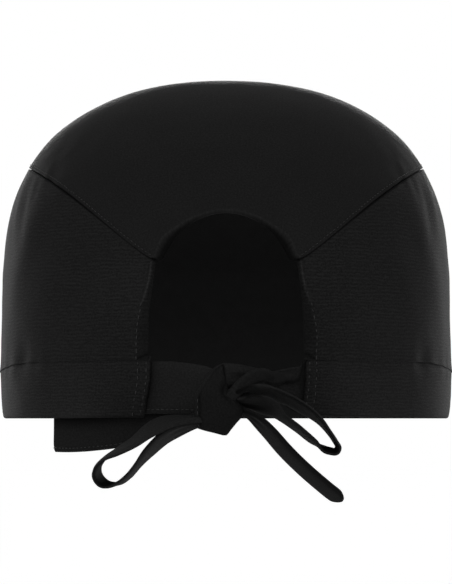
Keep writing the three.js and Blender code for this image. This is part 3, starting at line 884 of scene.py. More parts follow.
def makeWall():
    look = wallLook
    half = look["columns"] // 2
    length = 285.0  # half of the way round, from the edge of the opening
    steps = edgeSteps(length, look["edgeColumns"], half)
    places = [s / (2 * length) for s in steps] + [1 - s / (2 * length) for s in reversed(steps[:-1])]
    rows = []
    for low in look["bottomRows"]:
        rows.append(("low", low))
    for i in range(1, look["middleRows"]):
        rows.append(("mid", i / look["middleRows"]))
    for top in look["topRows"]:
        rows.append(("top", -top))
    for tuck in look["tuck"]:
        rows.append(("top", tuck))
    outer, inner, cloth, shade = [], [], [], []
    for kind, value in rows:
        outerRow, innerRow, clothRow, shadeRow = [], [], [], []
        for share in places:
            guess = mix(archAngle, 2 * math.pi - archAngle, share)
            low, high = bandTopAt(guess) - look["overlap"], seamAt(guess) - 0.1
            if kind == "low":
                height = low + value
            elif kind == "top":
                height = high + value
            else:
                height = mix(low + look["bottomRows"][-1], high - look["topRows"][0], value)
            right, left = angleAcross(besideOpening(1, height)[0], height), angleAcross(besideOpening(-1, height)[0], height)
            angle = mix(right, 2 * math.pi - left, share)
            side = 1 if share < 0.5 else -1
            turned = angle - right if share < 0.5 else 2 * math.pi - left - angle
            fromEdge = turned * opening["reach"]
            hem = besideOpening(side, height)[1]
            tucked = smooth(height - high, -0.2, 0.4)
            roll = rounded(min(fromEdge, look["tuck"][-1] + high - height), look["edgeRadius"] - 0.1 * tucked)
            roll = max(roll, rounded(height - low, look["lowRadius"]))
            fromBorder = min(fromEdge, height - low)
            plain = capPoint(angle, height)
            rise = wallRelief(plain, angle, height, fromEdge, hem) * (1 - tucked) * smooth(fromBorder, -0.2, 0.6)
            base = tucked * look["tuckDepth"]
            thick = cap["cloth"] - 0.4 * tucked
            outerRow.append(capPoint(angle, height, base + roll - rise))
            innerRow.append(capPoint(angle, height, base + thick - roll))
            clothRow.append((share * 2 * length, height))
            # painted shade along the top of the wall, where it tucks under the crown's edge
            dark = wallShade(height, angle, fromEdge, hem) * mix(1.0, 0.08, smooth(height - high, -1.1, -0.4))
            shadeRow.append(dark)
        outer.append(outerRow)
        inner.append(innerRow)
        cloth.append(clothRow)
        shade.append(shadeRow)
    return shellPiece("side_wall_cloth", outer, inner, cloth, shade, finishes["cap_cloth"])


bandLook = {
    "columns": 300,
    "edgeColumns": [0, 0.15, 0.4, 0.8, 1.3, 2.0, 2.8, 3.6, 4.4, 5.2, 6.2, 8],
    "rows": 22,
    "edgeRadius": 0.9,
    "tuck": 1.8,
    "puckers": 0.22,
}
# the ends of the band: height, distance from the middle
bandEnds = {
    -1: [(0, 31.4), (2.8, 30.9), (6.1, 30.2), (10.6, 29.3), (14.8, 28.6), (22, 28.5)],
    1: [(0, 28.9), (6.1, 29.3), (7.6, 29.5), (12, 29.9), (19, 30.2), (22, 30.2)],
}
# distances of the two rows of stitches from those ends
bandRowGaps = {-1: (1.3, 4.75), 1: (1.15, 4.0)}
# how far the lower part of the band rolls in: height, depth
footRoll = [(0.0, 1.5), (0.6, 1.4), (1.4, 1.25), (2.7, 1.0), (5.5, 0.7), (9.6, 0.42), (14, 0.25), (18, 0.1), (21, 0.0)]


def bandRelief(p, angle, height, high, fromEdge, rowGaps):
    side = abs(math.degrees(wrapped(angle)))
    puckers = bandLook["puckers"] * (0.25 + bell(side - 57, 8) + 0.5 * bell(side - 75, 8))
    rise = puckers * math.sin(angle * 62 + 3 * math.sin(angle * 9) + 0.8) * math.exp(-(high - height) / 3.5)
    rise += 0.2 * noise.noise(p * 0.03 + Vector((0, 4, 0))) + 0.1 * noise.noise(p * 0.1)
    rise -= 0.1 * bell(fromEdge - rowGaps[0], 0.4) + 0.1 * bell(fromEdge - rowGaps[1], 0.45)
    rise += 0.14 * bell(fromEdge - sum(rowGaps) / 2, 1.2)
    return rise


def makeBand():
    look = bandLook
    half = look["columns"] // 2
    length = 290.0
    steps = edgeSteps(length, look["edgeColumns"], half)
    places = [s / (2 * length) for s in steps] + [1 - s / (2 * length) for s in reversed(steps[:-1])]
    levels = [0, 0.01, 0.03, 0.06, 0.1]
    levels += [mix(0.14, 0.9, i / look["rows"]) for i in range(look["rows"] + 1)]
    levels += [0.93, 0.955, 0.975, 0.99, 1.0, 1.03, 1.07, 1.09]
    outer, inner, cloth, shade = [], [], [], []
    for level in levels:
        outerRow, innerRow, clothRow, shadeRow = [], [], [], []
        for share in places:
            guess = mix(archAngle, 2 * math.pi - archAngle, share)
            low, high = bandFootAt(guess), bandTopAt(guess) - 0.05
            height = mix(low, high, level)
            rightEnd = angleAcross(tableAt(bandEnds[1], height), height)
            leftEnd = 2 * math.pi - angleAcross(tableAt(bandEnds[-1], height), height)
            angle = mix(rightEnd, leftEnd, share)
            side = 1 if share < 0.5 else -1
            fromEdge = (angle - rightEnd if share < 0.5 else leftEnd - angle) * opening["reach"]
            tucked = smooth(height - high, 0.0, 0.5)
            fromBorder = min(fromEdge, height - low, (levels[-1] - level) * (high - low))
            roll = rounded(fromBorder, look["edgeRadius"] - 0.4 * tucked)
            plain = capPoint(angle, height)
            relief = bandRelief(plain, angle, height, high, fromEdge, bandRowGaps[side])
            relief *= (1 - tucked) * smooth(fromBorder, -0.2, 1.0)
            foot = tableAt(footRoll, height - low)
            base = band["setback"] + tucked * 0.95
            thick = band["thickness"] - 1.0 * tucked
            outerRow.append(capPoint(angle, height, base + foot + roll - relief))
            innerRow.append(capPoint(angle, height, base + thick + 0.3 * foot - roll))
            clothRow.append((share * 2 * length, height))
            # painted shade along the band's lower edge
            shadeRow.append(mix(0.3, 1.0, smooth(height - low, 0.0, 0.9)))
        outer.append(outerRow)
        inner.append(innerRow)
        cloth.append(clothRow)
        shade.append(shadeRow)
    return shellPiece("rim_band_cloth", outer, inner, cloth, shade, finishes["band_cloth"])


# The bow

bow = {
    "tieWidth": 19.5,
    "tieThickness": 1.5,
    "tieTuck": 5,
    "tieHeight": 11.5,
    "tieSlack": 0.5,
    "tailSlack": 1.8,
    "knotWidth": 18.2,
    "knotHeight": 25.9,
    "knotDepth": 13,
    "knotOffset": -2.6,
    "knotStand": 7.6,
    "loopReachLeft": 44.2,
    "loopDropLeft": 27.7,
    "loopReachRight": 44.2,
    "loopDropRight": 15.2,
    "tailReachRight": 45.2,
    "tailDropRight": 32.7,
    "tailReachLeft": 71.5,
    "tailDropLeft": 14.6,
}
knotMiddle = Vector((bow["knotOffset"], -cap["depth"] / 2 - bow["knotStand"], bow["tieHeight"] - 8.4))


class SmoothPath:
    # an even curve through points, with widths, turns and thicknesses blended along it
    def __init__(self, rows):
        self.rows = rows
        self.points = [row["point"] for row in rows]

    def point(self, t):
        count = len(self.points) - 1
        place = clamp(t) * count
        i = min(int(place), count - 1)
        w = place - i
        p1, p2 = self.points[i], self.points[i + 1]
        p0 = self.points[i - 1] if i > 0 else p1 * 2 - p2
        p3 = self.points[i + 2] if i + 2 <= count else p2 * 2 - p1
        d0 = max((p1 - p0).length ** 0.5, 1e-4)
        d1 = max((p2 - p1).length ** 0.5, 1e-4)
        d2 = max((p3 - p2).length ** 0.5, 1e-4)
        t1 = ((p1 - p0) / d0 - (p2 - p0) / (d0 + d1) + (p2 - p1) / d1) * d1
        t2 = ((p2 - p1) / d1 - (p3 - p1) / (d1 + d2) + (p3 - p2) / d2) * d1
        return p1 + t1 * w + (-3 * p1 + 3 * p2 - 2 * t1 - t2) * w * w + (2 * p1 - 2 * p2 + t1 + t2) * w ** 3

    def tangent(self, t):
        return (self.point(t + 0.002) - self.point(t - 0.002)).normalized()

    def value(self, name, t, plain=0.0):
        count = len(self.rows) - 1
        place = clamp(t) * count
        i = min(int(place), count - 1)
        w = place - i
        a, b = self.rows[i].get(name, plain), self.rows[i + 1].get(name, plain)
        before = self.rows[i - 1].get(name, plain) if i > 0 else a
        after = self.rows[i + 2].get(name, plain) if i + 2 <= count else b
        m1, m2 = (b - before) / 2, (after - a) / 2
        if (b - a) * (a - before) <= 0:
            m1 = 0.0
        if (b - a) * (after - b) <= 0:
            m2 = 0.0
        h = w * w * (3 - 2 * w)
        return a + (b - a) * h + m1 * (w ** 3 - 2 * w * w + w) + m2 * (w ** 3 - w * w)


toBack = Vector((0, -1, 0))


def strapFrame(path, t, side):
    along = path.tangent(t)
    roll = math.radians(path.value("turn", t))
    upright = (along.cross(toBack) * side).normalized()
    facing = (toBack - along * toBack.dot(along)).normalized()
    across = upright * math.cos(roll) + facing * math.sin(roll)
    out = along.cross(across).normalized()
    return path.point(t), along, across, out


# painted light and shade on each part of the bow: a factor on the cloth's colour, below 1 painted shade and above 1
# painted light
bowShade = {
    "tie_left_cloth": 1.12,
    "tie_right_cloth": 1.1,
    "knot_cloth": 0.66,
    "knot_turn": 0.9,
    "loop_left_cloth": 1.15,
    "loop_right_cloth": 1.15,
    "tail_left_cloth": 0.9,
    "tail_right_cloth": 0.8,
}


def strapPiece(name, rows, side, steps, finish, endRound=(0.0, 0.0)):
    # a flat strap: folded cloth with soft edges. "cup" bows it across, "pleat" gathers it, "deep"
    # is painted shade on its inner face, and "line" paints a line of shade along it at the share "lineAt" of its width.
    path = SmoothPath(rows)
    around = 44
    lengths = [0.0]
    for i in range(steps):
        lengths.append(lengths[-1] + (path.point((i + 1) / steps) - path.point(i / steps)).length)
    total = lengths[-1]
    points, spots, faces, shades = [], [], [], []
    for i in range(steps + 1):
        t = i / steps
        middle, along, across, out = strapFrame(path, t, side)
        half = path.value("width", t) / 2
        thin = path.value("thickness", t) / 2
        cup = path.value("cup", t)
        pleat = path.value("pleat", t)
        deep = path.value("deep", t, 1.0)
        line, lineAt = path.value("line", t), path.value("lineAt", t)
        lineWidth = path.value("lineWidth", t, 0.12)
        close = 1.0
        for length, r in ((lengths[i], endRound[0]), (total - lengths[i], endRound[1])):
            if r > 0 and length < r:
                close = min(close, math.sqrt(max(0.0, 1 - (1 - length / r) ** 2)))
        closeHalf = max(close, 0.02)
        for k in range(around):
            theta = 2 * math.pi * k / around
            s = -math.cos(theta)
            thickness = thin * math.copysign(max(0.0, 1 - abs(s) ** 7) ** 0.5, math.sin(theta))
            if abs(math.sin(theta)) < 1e-6:
                thickness = 0.0
            seam = 0.16 * bell((abs(s) - 0.84) * half, 0.5) + 0.1 * bell(abs(s) * half, 5.0)
            thickness *= (1 - seam) * max(close, 0.05)
            fold = pleat * math.cos(s * 2.6 * math.pi + 0.7)
            bend = cup * (0.33 - s * s)
            points.append(middle + across * (s * half * closeHalf) + out * (thickness + bend + fold))
            spots.append((lengths[i], s * half + (40 if math.sin(theta) < 0 else 0)))
            # painted shade on the inner face and along the painted line
            inner = smooth(math.sin(theta) * side, 0.05, 0.4)
            dark = mix(1.0, deep, inner) * (1 - line * bell(s - lineAt, lineWidth))
            shades.append(bowShade[name] * dark)
    for i in range(steps):
        for k in range(around):
            a, b = i * around + k, i * around + (k + 1) % around
            faces.append((a, b, b + around, a + around))
    for ring, flip in ((0, True), (steps * around, False)):
        # the end is closed across the strap, edge to edge
        for k in range(around // 2):
            a, b = ring + k, ring + k + 1
            c, d = ring + (around - k - 1) % around, ring + (around - k) % around
            loop = [a, b, c, d] if not flip else [d, c, b, a]
            kept = [v for j, v in enumerate(loop) if v != loop[j - 1]]
            if len(set(kept)) > 2:
                faces.append(kept)
    piece = makePiece(name, points, faces, spots, finish, shades)
    return piece, path


def hangingRows(rows, side, reach, drop):
    made = []
    for row in rows:
        point = Vector((
            knotMiddle.x + side * row["reach"] * reach,
            knotMiddle.y - row["out"] * bow["knotDepth"],
            knotMiddle.z - row["drop"] * drop,
        ))
        made.append({
            "point": point,
            "width": row["width"] * bow["tieWidth"],
            "thickness": bow["tieThickness"] * row.get("thick", 1),
            "turn": row["turn"],
            "cup": row.get("cup", 0.0),
            "pleat": row.get("pleat", 0.0),
            "deep": row.get("deep", 1.0),
            "line": row.get("line", 0.0),
            "lineAt": row.get("lineAt", 0.0),
            "lineWidth": 0.2,
        })
    return made


# in the rows of the loops and tails, deep is painted shade on the strap's inner face, above 1 painted light, and line
# with lineAt paints a line of shadow along the strap, at the roots and between the straps
loopLeftRows = [
    {"reach": 0.112, "drop": 0.105, "out": 0.06, "width": 0.45, "turn": 76, "thick": 1.5, "pleat": 0.5, "line": 0.7, "lineAt": -1},
    {"reach": 0.237, "drop": 0.122, "out": 0.1, "width": 0.56, "turn": 80, "thick": 1.3, "pleat": 0.4, "line": 0.8, "lineAt": -1},
    {"reach": 0.362, "drop": 0.138, "out": 0.12, "width": 0.76, "turn": 76, "pleat": 0.2, "line": 0.8, "lineAt": -1},
    {"reach": 0.487, "drop": 0.185, "out": 0.12, "width": 0.95, "turn": 73, "cup": 0.4, "line": 0.5, "lineAt": -1},
    {"reach": 0.595, "drop": 0.278, "out": 0.12, "width": 1, "turn": 75, "cup": 0.5},
    {"reach": 0.703, "drop": 0.411, "out": 0.1, "width": 1, "turn": 79, "cup": 0.5},
    {"reach": 0.836, "drop": 0.537, "out": 0.05, "width": 1, "turn": 83, "cup": 0.3, "deep": 0.7},
    {"reach": 0.953, "drop": 0.645, "out": 0, "width": 1, "turn": 89, "cup": 0.2, "deep": 0.45},
    {"reach": 1.006, "drop": 0.756, "out": -0.04, "width": 1, "turn": 93, "deep": 0.3},
    {"reach": 1.012, "drop": 0.856, "out": -0.06, "width": 1, "turn": 97, "deep": 0.25},
    {"reach": 0.975, "drop": 0.95, "out": -0.06, "width": 1, "turn": 98, "deep": 0.22},
    {"reach": 0.911, "drop": 0.99, "out": -0.06, "width": 1, "turn": 94, "deep": 0.22},
    {"reach": 0.832, "drop": 0.97, "out": -0.04, "width": 1, "turn": 88, "deep": 0.3},
    {"reach": 0.753, "drop": 0.882, "out": 0, "width": 1, "turn": 86, "cup": 0.2, "deep": 0.4},
    {"reach": 0.666, "drop": 0.723, "out": 0.04, "width": 1, "turn": 85, "cup": 0.2, "deep": 0.4},
    {"reach": 0.582, "drop": 0.567, "out": 0.06, "width": 1, "turn": 80, "cup": 0.3, "deep": 0.4, "line": 0.5, "lineAt": 1},
    {"reach": 0.462, "drop": 0.385, "out": 0.06, "width": 0.98, "turn": 77, "cup": 0.3, "deep": 0.4, "line": 0.85, "lineAt": 1},
    {"reach": 0.337, "drop": 0.265, "out": 0.04, "width": 0.85, "turn": 76, "pleat": 0.2, "line": 0.85, "lineAt": 1},
    {"reach": 0.237, "drop": 0.205, "out": 0.04, "width": 0.65, "turn": 78, "thick": 1.2, "pleat": 0.3, "line": 0.85, "lineAt": 1},
    {"reach": 0.128, "drop": 0.165, "out": 0.02, "width": 0.45, "turn": 83, "thick": 1.4, "pleat": 0.4, "line": 0.8, "lineAt": 1},
]
# deep is painted shade, above 1 painted light, and line a painted line of shadow
loopRightRows = [
    {"reach": 0.13, "drop": -0.34, "out": 0.02, "width": 0.45, "turn": 98, "thick": 1.5, "pleat": 0.3, "line": 0.8, "lineAt": 1},
    {"reach": 0.205, "drop": -0.425, "out": 0.06, "width": 0.6, "turn": 101, "thick": 1.3, "pleat": 0.2, "line": 0.8, "lineAt": 1},
    {"reach": 0.296, "drop": -0.44, "out": 0.1, "width": 0.85, "turn": 107, "deep": 1.3, "line": 0.6, "lineAt": 1},
    {"reach": 0.385, "drop": -0.42, "out": 0.13, "width": 0.95, "turn": 106, "deep": 1.2},
    {"reach": 0.471, "drop": -0.37, "out": 0.14, "width": 1, "turn": 103, "cup": -0.3, "deep": 0.7},
    {"reach": 0.579, "drop": -0.25, "out": 0.14, "width": 1, "turn": 101, "cup": -0.4, "deep": 0.35},
    {"reach": 0.704, "drop": -0.04, "out": 0.1, "width": 1, "turn": 100, "cup": -0.4, "deep": 0.3},
    {"reach": 0.821, "drop": 0.216, "out": 0.06, "width": 1, "turn": 96, "cup": -0.3, "deep": 0.3},
    {"reach": 0.9, "drop": 0.482, "out": 0.02, "width": 1, "turn": 92, "cup": -0.2, "deep": 0.25},
    {"reach": 0.962, "drop": 0.736, "out": -0.02, "width": 1, "turn": 91, "cup": -0.1, "deep": 0.25},
    {"reach": 0.991, "drop": 0.906, "out": -0.03, "width": 1, "turn": 92, "deep": 0.22},
    {"reach": 0.968, "drop": 0.998, "out": -0.03, "width": 1, "turn": 95, "deep": 0.22},
    {"reach": 0.92, "drop": 0.986, "out": -0.03, "width": 1, "turn": 96, "deep": 0.22},
    {"reach": 0.862, "drop": 0.93, "out": -0.02, "width": 1, "turn": 95, "deep": 0.22},
    {"reach": 0.785, "drop": 0.768, "out": 0, "width": 1, "turn": 86, "cup": -0.2, "deep": 0.3},
    {"reach": 0.652, "drop": 0.453, "out": 0.03, "width": 1, "turn": 84, "cup": -0.3, "deep": 0.4},
    {"reach": 0.529, "drop": 0.192, "out": 0.05, "width": 1, "turn": 82, "cup": -0.4, "deep": 0.4},
    {"reach": 0.429, "drop": -0.06, "out": 0.05, "width": 1, "turn": 71, "deep": 0.4},
    {"reach": 0.329, "drop": -0.14, "out": 0.03, "width": 0.95, "turn": 69, "pleat": 0.2, "line": 0.6, "lineAt": 1},
    {"reach": 0.238, "drop": -0.19, "out": 0, "width": 0.75, "turn": 73, "thick": 1.2, "pleat": 0.3, "line": 0.7, "lineAt": 1},
    {"reach": 0.15, "drop": -0.22, "out": 0, "width": 0.5, "turn": 78, "thick": 1.4, "pleat": 0.4},
]
# deep is painted shade on the face turned down
tailRightRows = [
    {"reach": 0.14, "drop": -0.04, "out": -0.12, "width": 0.42, "turn": 99, "thick": 1.5, "pleat": 0.4, "deep": 0.45},
    {"reach": 0.233, "drop": 0.035, "out": -0.14, "width": 0.56, "turn": 100, "thick": 1.3, "pleat": 0.3, "deep": 0.42},
    {"reach": 0.314, "drop": 0.123, "out": -0.12, "width": 0.8, "turn": 104, "pleat": 0.2, "deep": 0.22},
    {"reach": 0.404, "drop": 0.252, "out": -0.08, "width": 0.95, "turn": 105, "cup": 0.2, "deep": 0.22},
    {"reach": 0.526, "drop": 0.449, "out": -0.02, "width": 1, "turn": 105, "cup": 0.4, "deep": 0.22},
    {"reach": 0.656, "drop": 0.629, "out": 0.02, "width": 1, "turn": 105, "cup": 0.4, "deep": 0.22},
    {"reach": 0.803, "drop": 0.809, "out": 0.04, "width": 1, "turn": 105, "cup": 0.4, "deep": 0.22},
    {"reach": 0.925, "drop": 0.944, "out": 0.04, "width": 1, "turn": 105, "cup": 0.3, "deep": 0.22},
    {"reach": 1.005, "drop": 1.02, "out": 0.04, "width": 0.75, "turn": 104, "cup": 0.2, "deep": 0.22},
]
# way is 0 at the edge of the opening and 1 at the knot's middle
tieLeftRows = [
    {"way": 0.25, "rise": 0, "width": 1, "thick": 1, "turn": 0},
    {"way": 0.55, "rise": -0.02, "width": 0.96, "thick": 1.1, "turn": 4},
    {"way": 0.8, "rise": -0.05, "width": 0.9, "thick": 1.4, "turn": 8},
    {"way": 0.95, "rise": -0.08, "width": 0.8, "thick": 1.6, "turn": 10},
]
# line with lineAt paints the shadow under the upper fold of the right tie
tieRightRows = [
    {"way": 0.08, "rise": 0.01, "width": 0.93, "thick": 1, "turn": 0, "line": 0.5, "lineAt": 0.28},
    {"way": 0.2, "rise": 0.08, "width": 0.66, "thick": 1.3, "turn": 6, "pleat": 0.3, "line": 0.7, "lineAt": 0.08},
    {"way": 0.31, "rise": 0.13, "width": 0.45, "thick": 1.8, "turn": 8, "pleat": 0.4, "line": 0.7, "lineAt": -0.12},
    {"way": 0.42, "rise": 0.17, "width": 0.29, "thick": 2.3, "turn": 6, "pleat": 0.3, "line": 0.5, "lineAt": -0.5},
    {"way": 0.58, "rise": 0.2, "width": 0.34, "thick": 2.6, "turn": 3, "pleat": 0.2},
    {"way": 0.8, "rise": 0.21, "width": 0.46, "thick": 3, "turn": 0, "pleat": 0.2},
    {"way": 0.95, "rise": 0.2, "width": 0.5, "thick": 3, "turn": 0},
]
tailLeftRows = [
    {"way": 0.2, "sink": 0.32, "width": 0.8},
    {"way": 0.36, "sink": 0.6, "width": 0.92},
    {"way": 0.52, "sink": 0.85, "width": 1},
    {"way": 0.7, "sink": 0.96, "width": 1},
    {"way": 0.86, "sink": 1, "width": 1},
    {"way": 1, "sink": 1, "width": 1},
]


def insideBand(angle, height, slack):
    return capPoint(angle, height, band["setback"] + band["thickness"] + 0.3 + 0.8 + slack)


def tieRows(rows, side):
    edgeAngle = angleAcross(openingHalf(bow["tieHeight"]), bow["tieHeight"])
    tuckAngle = edgeAngle + bow["tieTuck"] / (cap["depth"] / 2)
    start = insideBand(side * tuckAngle, bow["tieHeight"], bow["tieSlack"])
    edge = insideBand(side * edgeAngle, bow["tieHeight"], bow["tieSlack"])
    made = [
        {"point": start, "width": bow["tieWidth"], "thickness": bow["tieThickness"], "turn": 0},
        {"point": edge, "width": bow["tieWidth"], "thickness": bow["tieThickness"], "turn": 0},
    ]
    for row in rows:
        point = Vector((
            mix(edge.x, knotMiddle.x, row["way"]),
            mix(edge.y, knotMiddle.y, row["way"]),
            bow["tieHeight"] + row["rise"] * bow["tieWidth"],
        ))
        made.append({
            "point": point,
            "width": row["width"] * bow["tieWidth"],
            "thickness": row["thick"] * bow["tieThickness"],
            "turn": row["turn"],
            "cup": row.get("cup", 0.0),
            "pleat": row.get("pleat", 0.0),
            "line": row.get("line", 0.0),
            "lineAt": row.get("lineAt", 0.0),
        })
    return made


def tailLeftPath():
    lastAngle = angleAcross(bow["tailReachLeft"], bow["tieHeight"])
    rows = [{
        "point": knotMiddle + Vector((0, 0.35 * bow["knotDepth"], 0.05 * bow["knotHeight"])),
        "width": 0.6 * bow["tieWidth"],
        "thickness": bow["tieThickness"],
        "turn": 0,
    }]
    for row in tailLeftRows:
        height = bow["tieHeight"] - row["sink"] * bow["tailDropLeft"]
        rows.append({
            "point": insideBand(-lastAngle * row["way"], height, 1.6 + 0.3 + bow["tailSlack"]),
            "width": row["width"] * bow["tieWidth"],
            "thickness": bow["tieThickness"],
            "turn": 0,
            # a painted shadow along the tail's top, under the band
            "line": 0.85,
            "lineAt": -0.42,
            "lineWidth": 0.36,
        })
    return rows


# height, left edge, right edge, front and back depth of the strap turned over the knot
knotSections = [
    (-6.2, -1.2, 0.2, 2.2, 0.8),
    (-5.4, -4.2, 1.0, 3.6, 1.8),
    (-4.4, -8.2, 1.7, 4.6, 2.6),
    (-3.3, -11.1, 2.6, 5.4, 3.4),
    (-1.8, -11.5, 3.8, 6.1, 4.2),
    (1.0, -11.6, 6.1, 6.8, 5.0),
    (4.2, -11.7, 6.5, 7.0, 5.4),
    (7.4, -11.75, 3.6, 7.0, 5.4),
    (9.4, -11.2, 1.2, 6.8, 5.2),
    (12.8, -8.8, 0.3, 5.8, 4.6),
    (15.9, -6.9, -0.7, 4.4, 3.6),
    (18.2, -4.9, -1.0, 2.6, 2.4),
    (19.9, -2.5, -1.3, 0.8, 0.8),
]


def knotShade(x, z, left, right):
    # painted shade in the crease and along the left edge, and painted highlights on the rolled left edge and on the
    # fold beside it
    dark = 1 - 0.45 * bell(x - left - 2.1, 0.6) * smooth(z, -4, -1) * (1 - smooth(z, 8, 11))
    crease = x - mix(right - 2.2, left + 9.5, clamp((z - 2) / 16))
    dark *= 1 - 0.5 * bell(crease, 0.7) * smooth(z, 4, 8) * (1 - smooth(z, 15, 19))
    return dark + 0.35 * bell(x - left - 0.7, 0.6) + 0.3 * bell(x - right + 0.6, 0.7) * smooth(z, 9, 13)


def makeKnot():
    around, between = 72, 5
    path = []
    count = len(knotSections) - 1
    for i in range(count * between + 1):
        t = i / between
        j = min(int(t), count - 1)
        w = t - j
        a, b = knotSections[j], knotSections[j + 1]
        before = knotSections[j - 1] if j > 0 else a
        after = knotSections[j + 2] if j + 2 <= count else b
        values = []
        for n in range(5):
            m1, m2 = (b[n] - before[n]) / 2, (after[n] - a[n]) / 2
            h = w * w * (3 - 2 * w)
            values.append(a[n] + (b[n] - a[n]) * h + m1 * (w ** 3 - 2 * w * w + w) + m2 * (w ** 3 - w * w))
        path.append(values)
    points, spots, faces, shades = [], [], [], []
    for z, left, right, front, back in path:
        half, middle = (right - left) / 2, (right + left) / 2
        for k in range(around):
            theta = 2 * math.pi * k / around
            depth = front if math.sin(theta) < 0 else back
            x = middle + half * signedPower(math.cos(theta), 0.9)
            y = knotMiddle.y + signedPower(math.sin(theta), 0.75) * depth
            if math.sin(theta) < 0:
                # a rolled edge down the left side, and creases that run down from the top
                fromLeft = x - left
                y -= 0.5 * bell(fromLeft - 0.8, 0.7) - 0.35 * bell(fromLeft - 2.0, 0.5)
                crease = x - mix(right - 2.2, left + 9.5, clamp((z - 2) / 16))
                y += 0.5 * bell(crease, 0.9) * smooth(z, 3, 9) * (1 - smooth(z, 15, 19))
                y -= 0.4 * bell(crease + 2.4, 1.3) * smooth(z, 3, 9) * (1 - smooth(z, 15, 19))
            points.append(Vector((x, y, z)))
            spots.append((z, x + (30 if math.sin(theta) > 0 else 0)))
            # painted shade and highlights on the front, and the knot's painted shade factor on all of it
            shades.append(bowShade["knot_cloth"] * (knotShade(x, z, left, right) if math.sin(theta) < 0 else 1))
    rows = len(path)
    for i in range(rows - 1):
        for k in range(around):
            a, b = i * around + k, i * around + (k + 1) % around
            faces.append((a, b, b + around, a + around))
    for ring, flip in ((0, True), ((rows - 1) * around, False)):
        loop = [ring + k for k in range(around)]
        faces.append(loop[::-1] if flip else loop)
    return makePiece("knot_cloth", points, faces, spots, finishes["tie_cloth"], shades)


fingerRows = [
    {"aside": 1.45, "rise": 0.49, "out": -1.2, "width": 0.6, "turn": 0},
    {"aside": 1.24, "rise": 0.46, "out": -0.8, "width": 0.85, "turn": 3},
    {"aside": 1.06, "rise": 0.45, "out": -0.42, "width": 0.95, "turn": 6},
    {"aside": 0.87, "rise": 0.49, "out": -0.06, "width": 1, "turn": 8},
    {"aside": 0.7, "rise": 0.46, "out": 0.1, "width": 1, "turn": 8},
    {"aside": 0.5, "rise": 0.36, "out": 0.2, "width": 1, "turn": 5},
    {"aside": 0.34, "rise": 0.25, "out": 0.26, "width": 0.95, "turn": 0},
    {"aside": 0.2, "rise": 0.15, "out": 0.28, "width": 0.8, "turn": 0},
]


def fingerPath():
    rows = []
    for row in fingerRows:
        rows.append({
            "point": Vector((
                knotMiddle.x + row["aside"] * bow["knotWidth"],
                knotMiddle.y - row["out"] * bow["knotDepth"],
                knotMiddle.z + row["rise"] * bow["knotHeight"],
            )),
            "width": row["width"] * 5.6,
            "thickness": 3.6,
            "turn": row["turn"],
            # a painted line of shade along one edge of the turned strap
            "line": 0.45,
            "lineAt": -1,
            "lineWidth": 0.35,
        })
    return rows


# Stitches

def stitchTree():
    tree = bpy.data.node_groups.new("stitchRows", "GeometryNodeTree")
    face = tree.interface
    face.new_socket("Rows", in_out="INPUT", socket_type="NodeSocketGeometry")
    for name in ("Pitch", "Stitch length", "Thread", "Wander"):
        face.new_socket(name, in_out="INPUT", socket_type="NodeSocketFloat")
    face.new_socket("Seed", in_out="INPUT", socket_type="NodeSocketInt")
    face.new_socket("Finish", in_out="INPUT", socket_type="NodeSocketMaterial")
    face.new_socket("Stitches", in_out="OUTPUT", socket_type="NodeSocketGeometry")
    add, link = tree.nodes.new, tree.links.new
    given, made = add("NodeGroupInput"), add("NodeGroupOutput")
    spread = add("GeometryNodeCurveToPoints")
    spread.mode = "LENGTH"
    bead = add("GeometryNodeMeshUVSphere")
    bead.inputs["Segments"].default_value = 6
    bead.inputs["Rings"].default_value = 5
    bead.inputs["Radius"].default_value = 0.5
    vary = add("FunctionNodeRandomValue")
    vary.data_type = "FLOAT"
    vary.inputs["Min"].default_value = 0.55
    vary.inputs["Max"].default_value = 1.2
    stray = add("FunctionNodeRandomValue")
    stray.data_type = "FLOAT_VECTOR"
    stray.inputs["Min"].default_value = (-1, -1, -1)
    stray.inputs["Max"].default_value = (1, 1, 1)
    strayed = add("ShaderNodeVectorMath")
    strayed.operation = "SCALE"
    moved = add("GeometryNodeSetPosition")
    longer = add("ShaderNodeMath")
    longer.operation = "MULTIPLY"
    size = add("ShaderNodeCombineXYZ")
    place = add("GeometryNodeInstanceOnPoints")
    real = add("GeometryNodeRealizeInstances")
    soft = add("GeometryNodeSetShadeSmooth")
    paint = add("GeometryNodeSetMaterial")
    link(given.outputs["Rows"], spread.inputs["Curve"])
    link(given.outputs["Pitch"], spread.inputs["Length"])
    link(given.outputs["Seed"], vary.inputs["Seed"])
    link(given.outputs["Stitch length"], longer.inputs[0])
    link(vary.outputs[1], longer.inputs[1])
    link(given.outputs["Thread"], size.inputs[0])
    link(given.outputs["Thread"], size.inputs[1])
    link(longer.outputs[0], size.inputs[2])
    link(given.outputs["Seed"], stray.inputs["Seed"])
    link(stray.outputs[0], strayed.inputs[0])
    link(given.outputs["Wander"], strayed.inputs["Scale"])
    link(spread.outputs["Points"], moved.inputs["Geometry"])
    link(strayed.outputs[0], moved.inputs["Offset"])
    link(moved.outputs[0], place.inputs["Points"])
    link(bead.outputs["Mesh"], place.inputs["Instance"])
    link(spread.outputs["Rotation"], place.inputs["Rotation"])
    link(size.outputs[0], place.inputs["Scale"])
    link(place.outputs[0], real.inputs[0])
    link(real.outputs[0], soft.inputs[0])
    link(soft.outputs[0], paint.inputs["Geometry"])
    link(given.outputs["Finish"], paint.inputs["Material"])
    link(paint.outputs[0], made.inputs[0])
    return tree


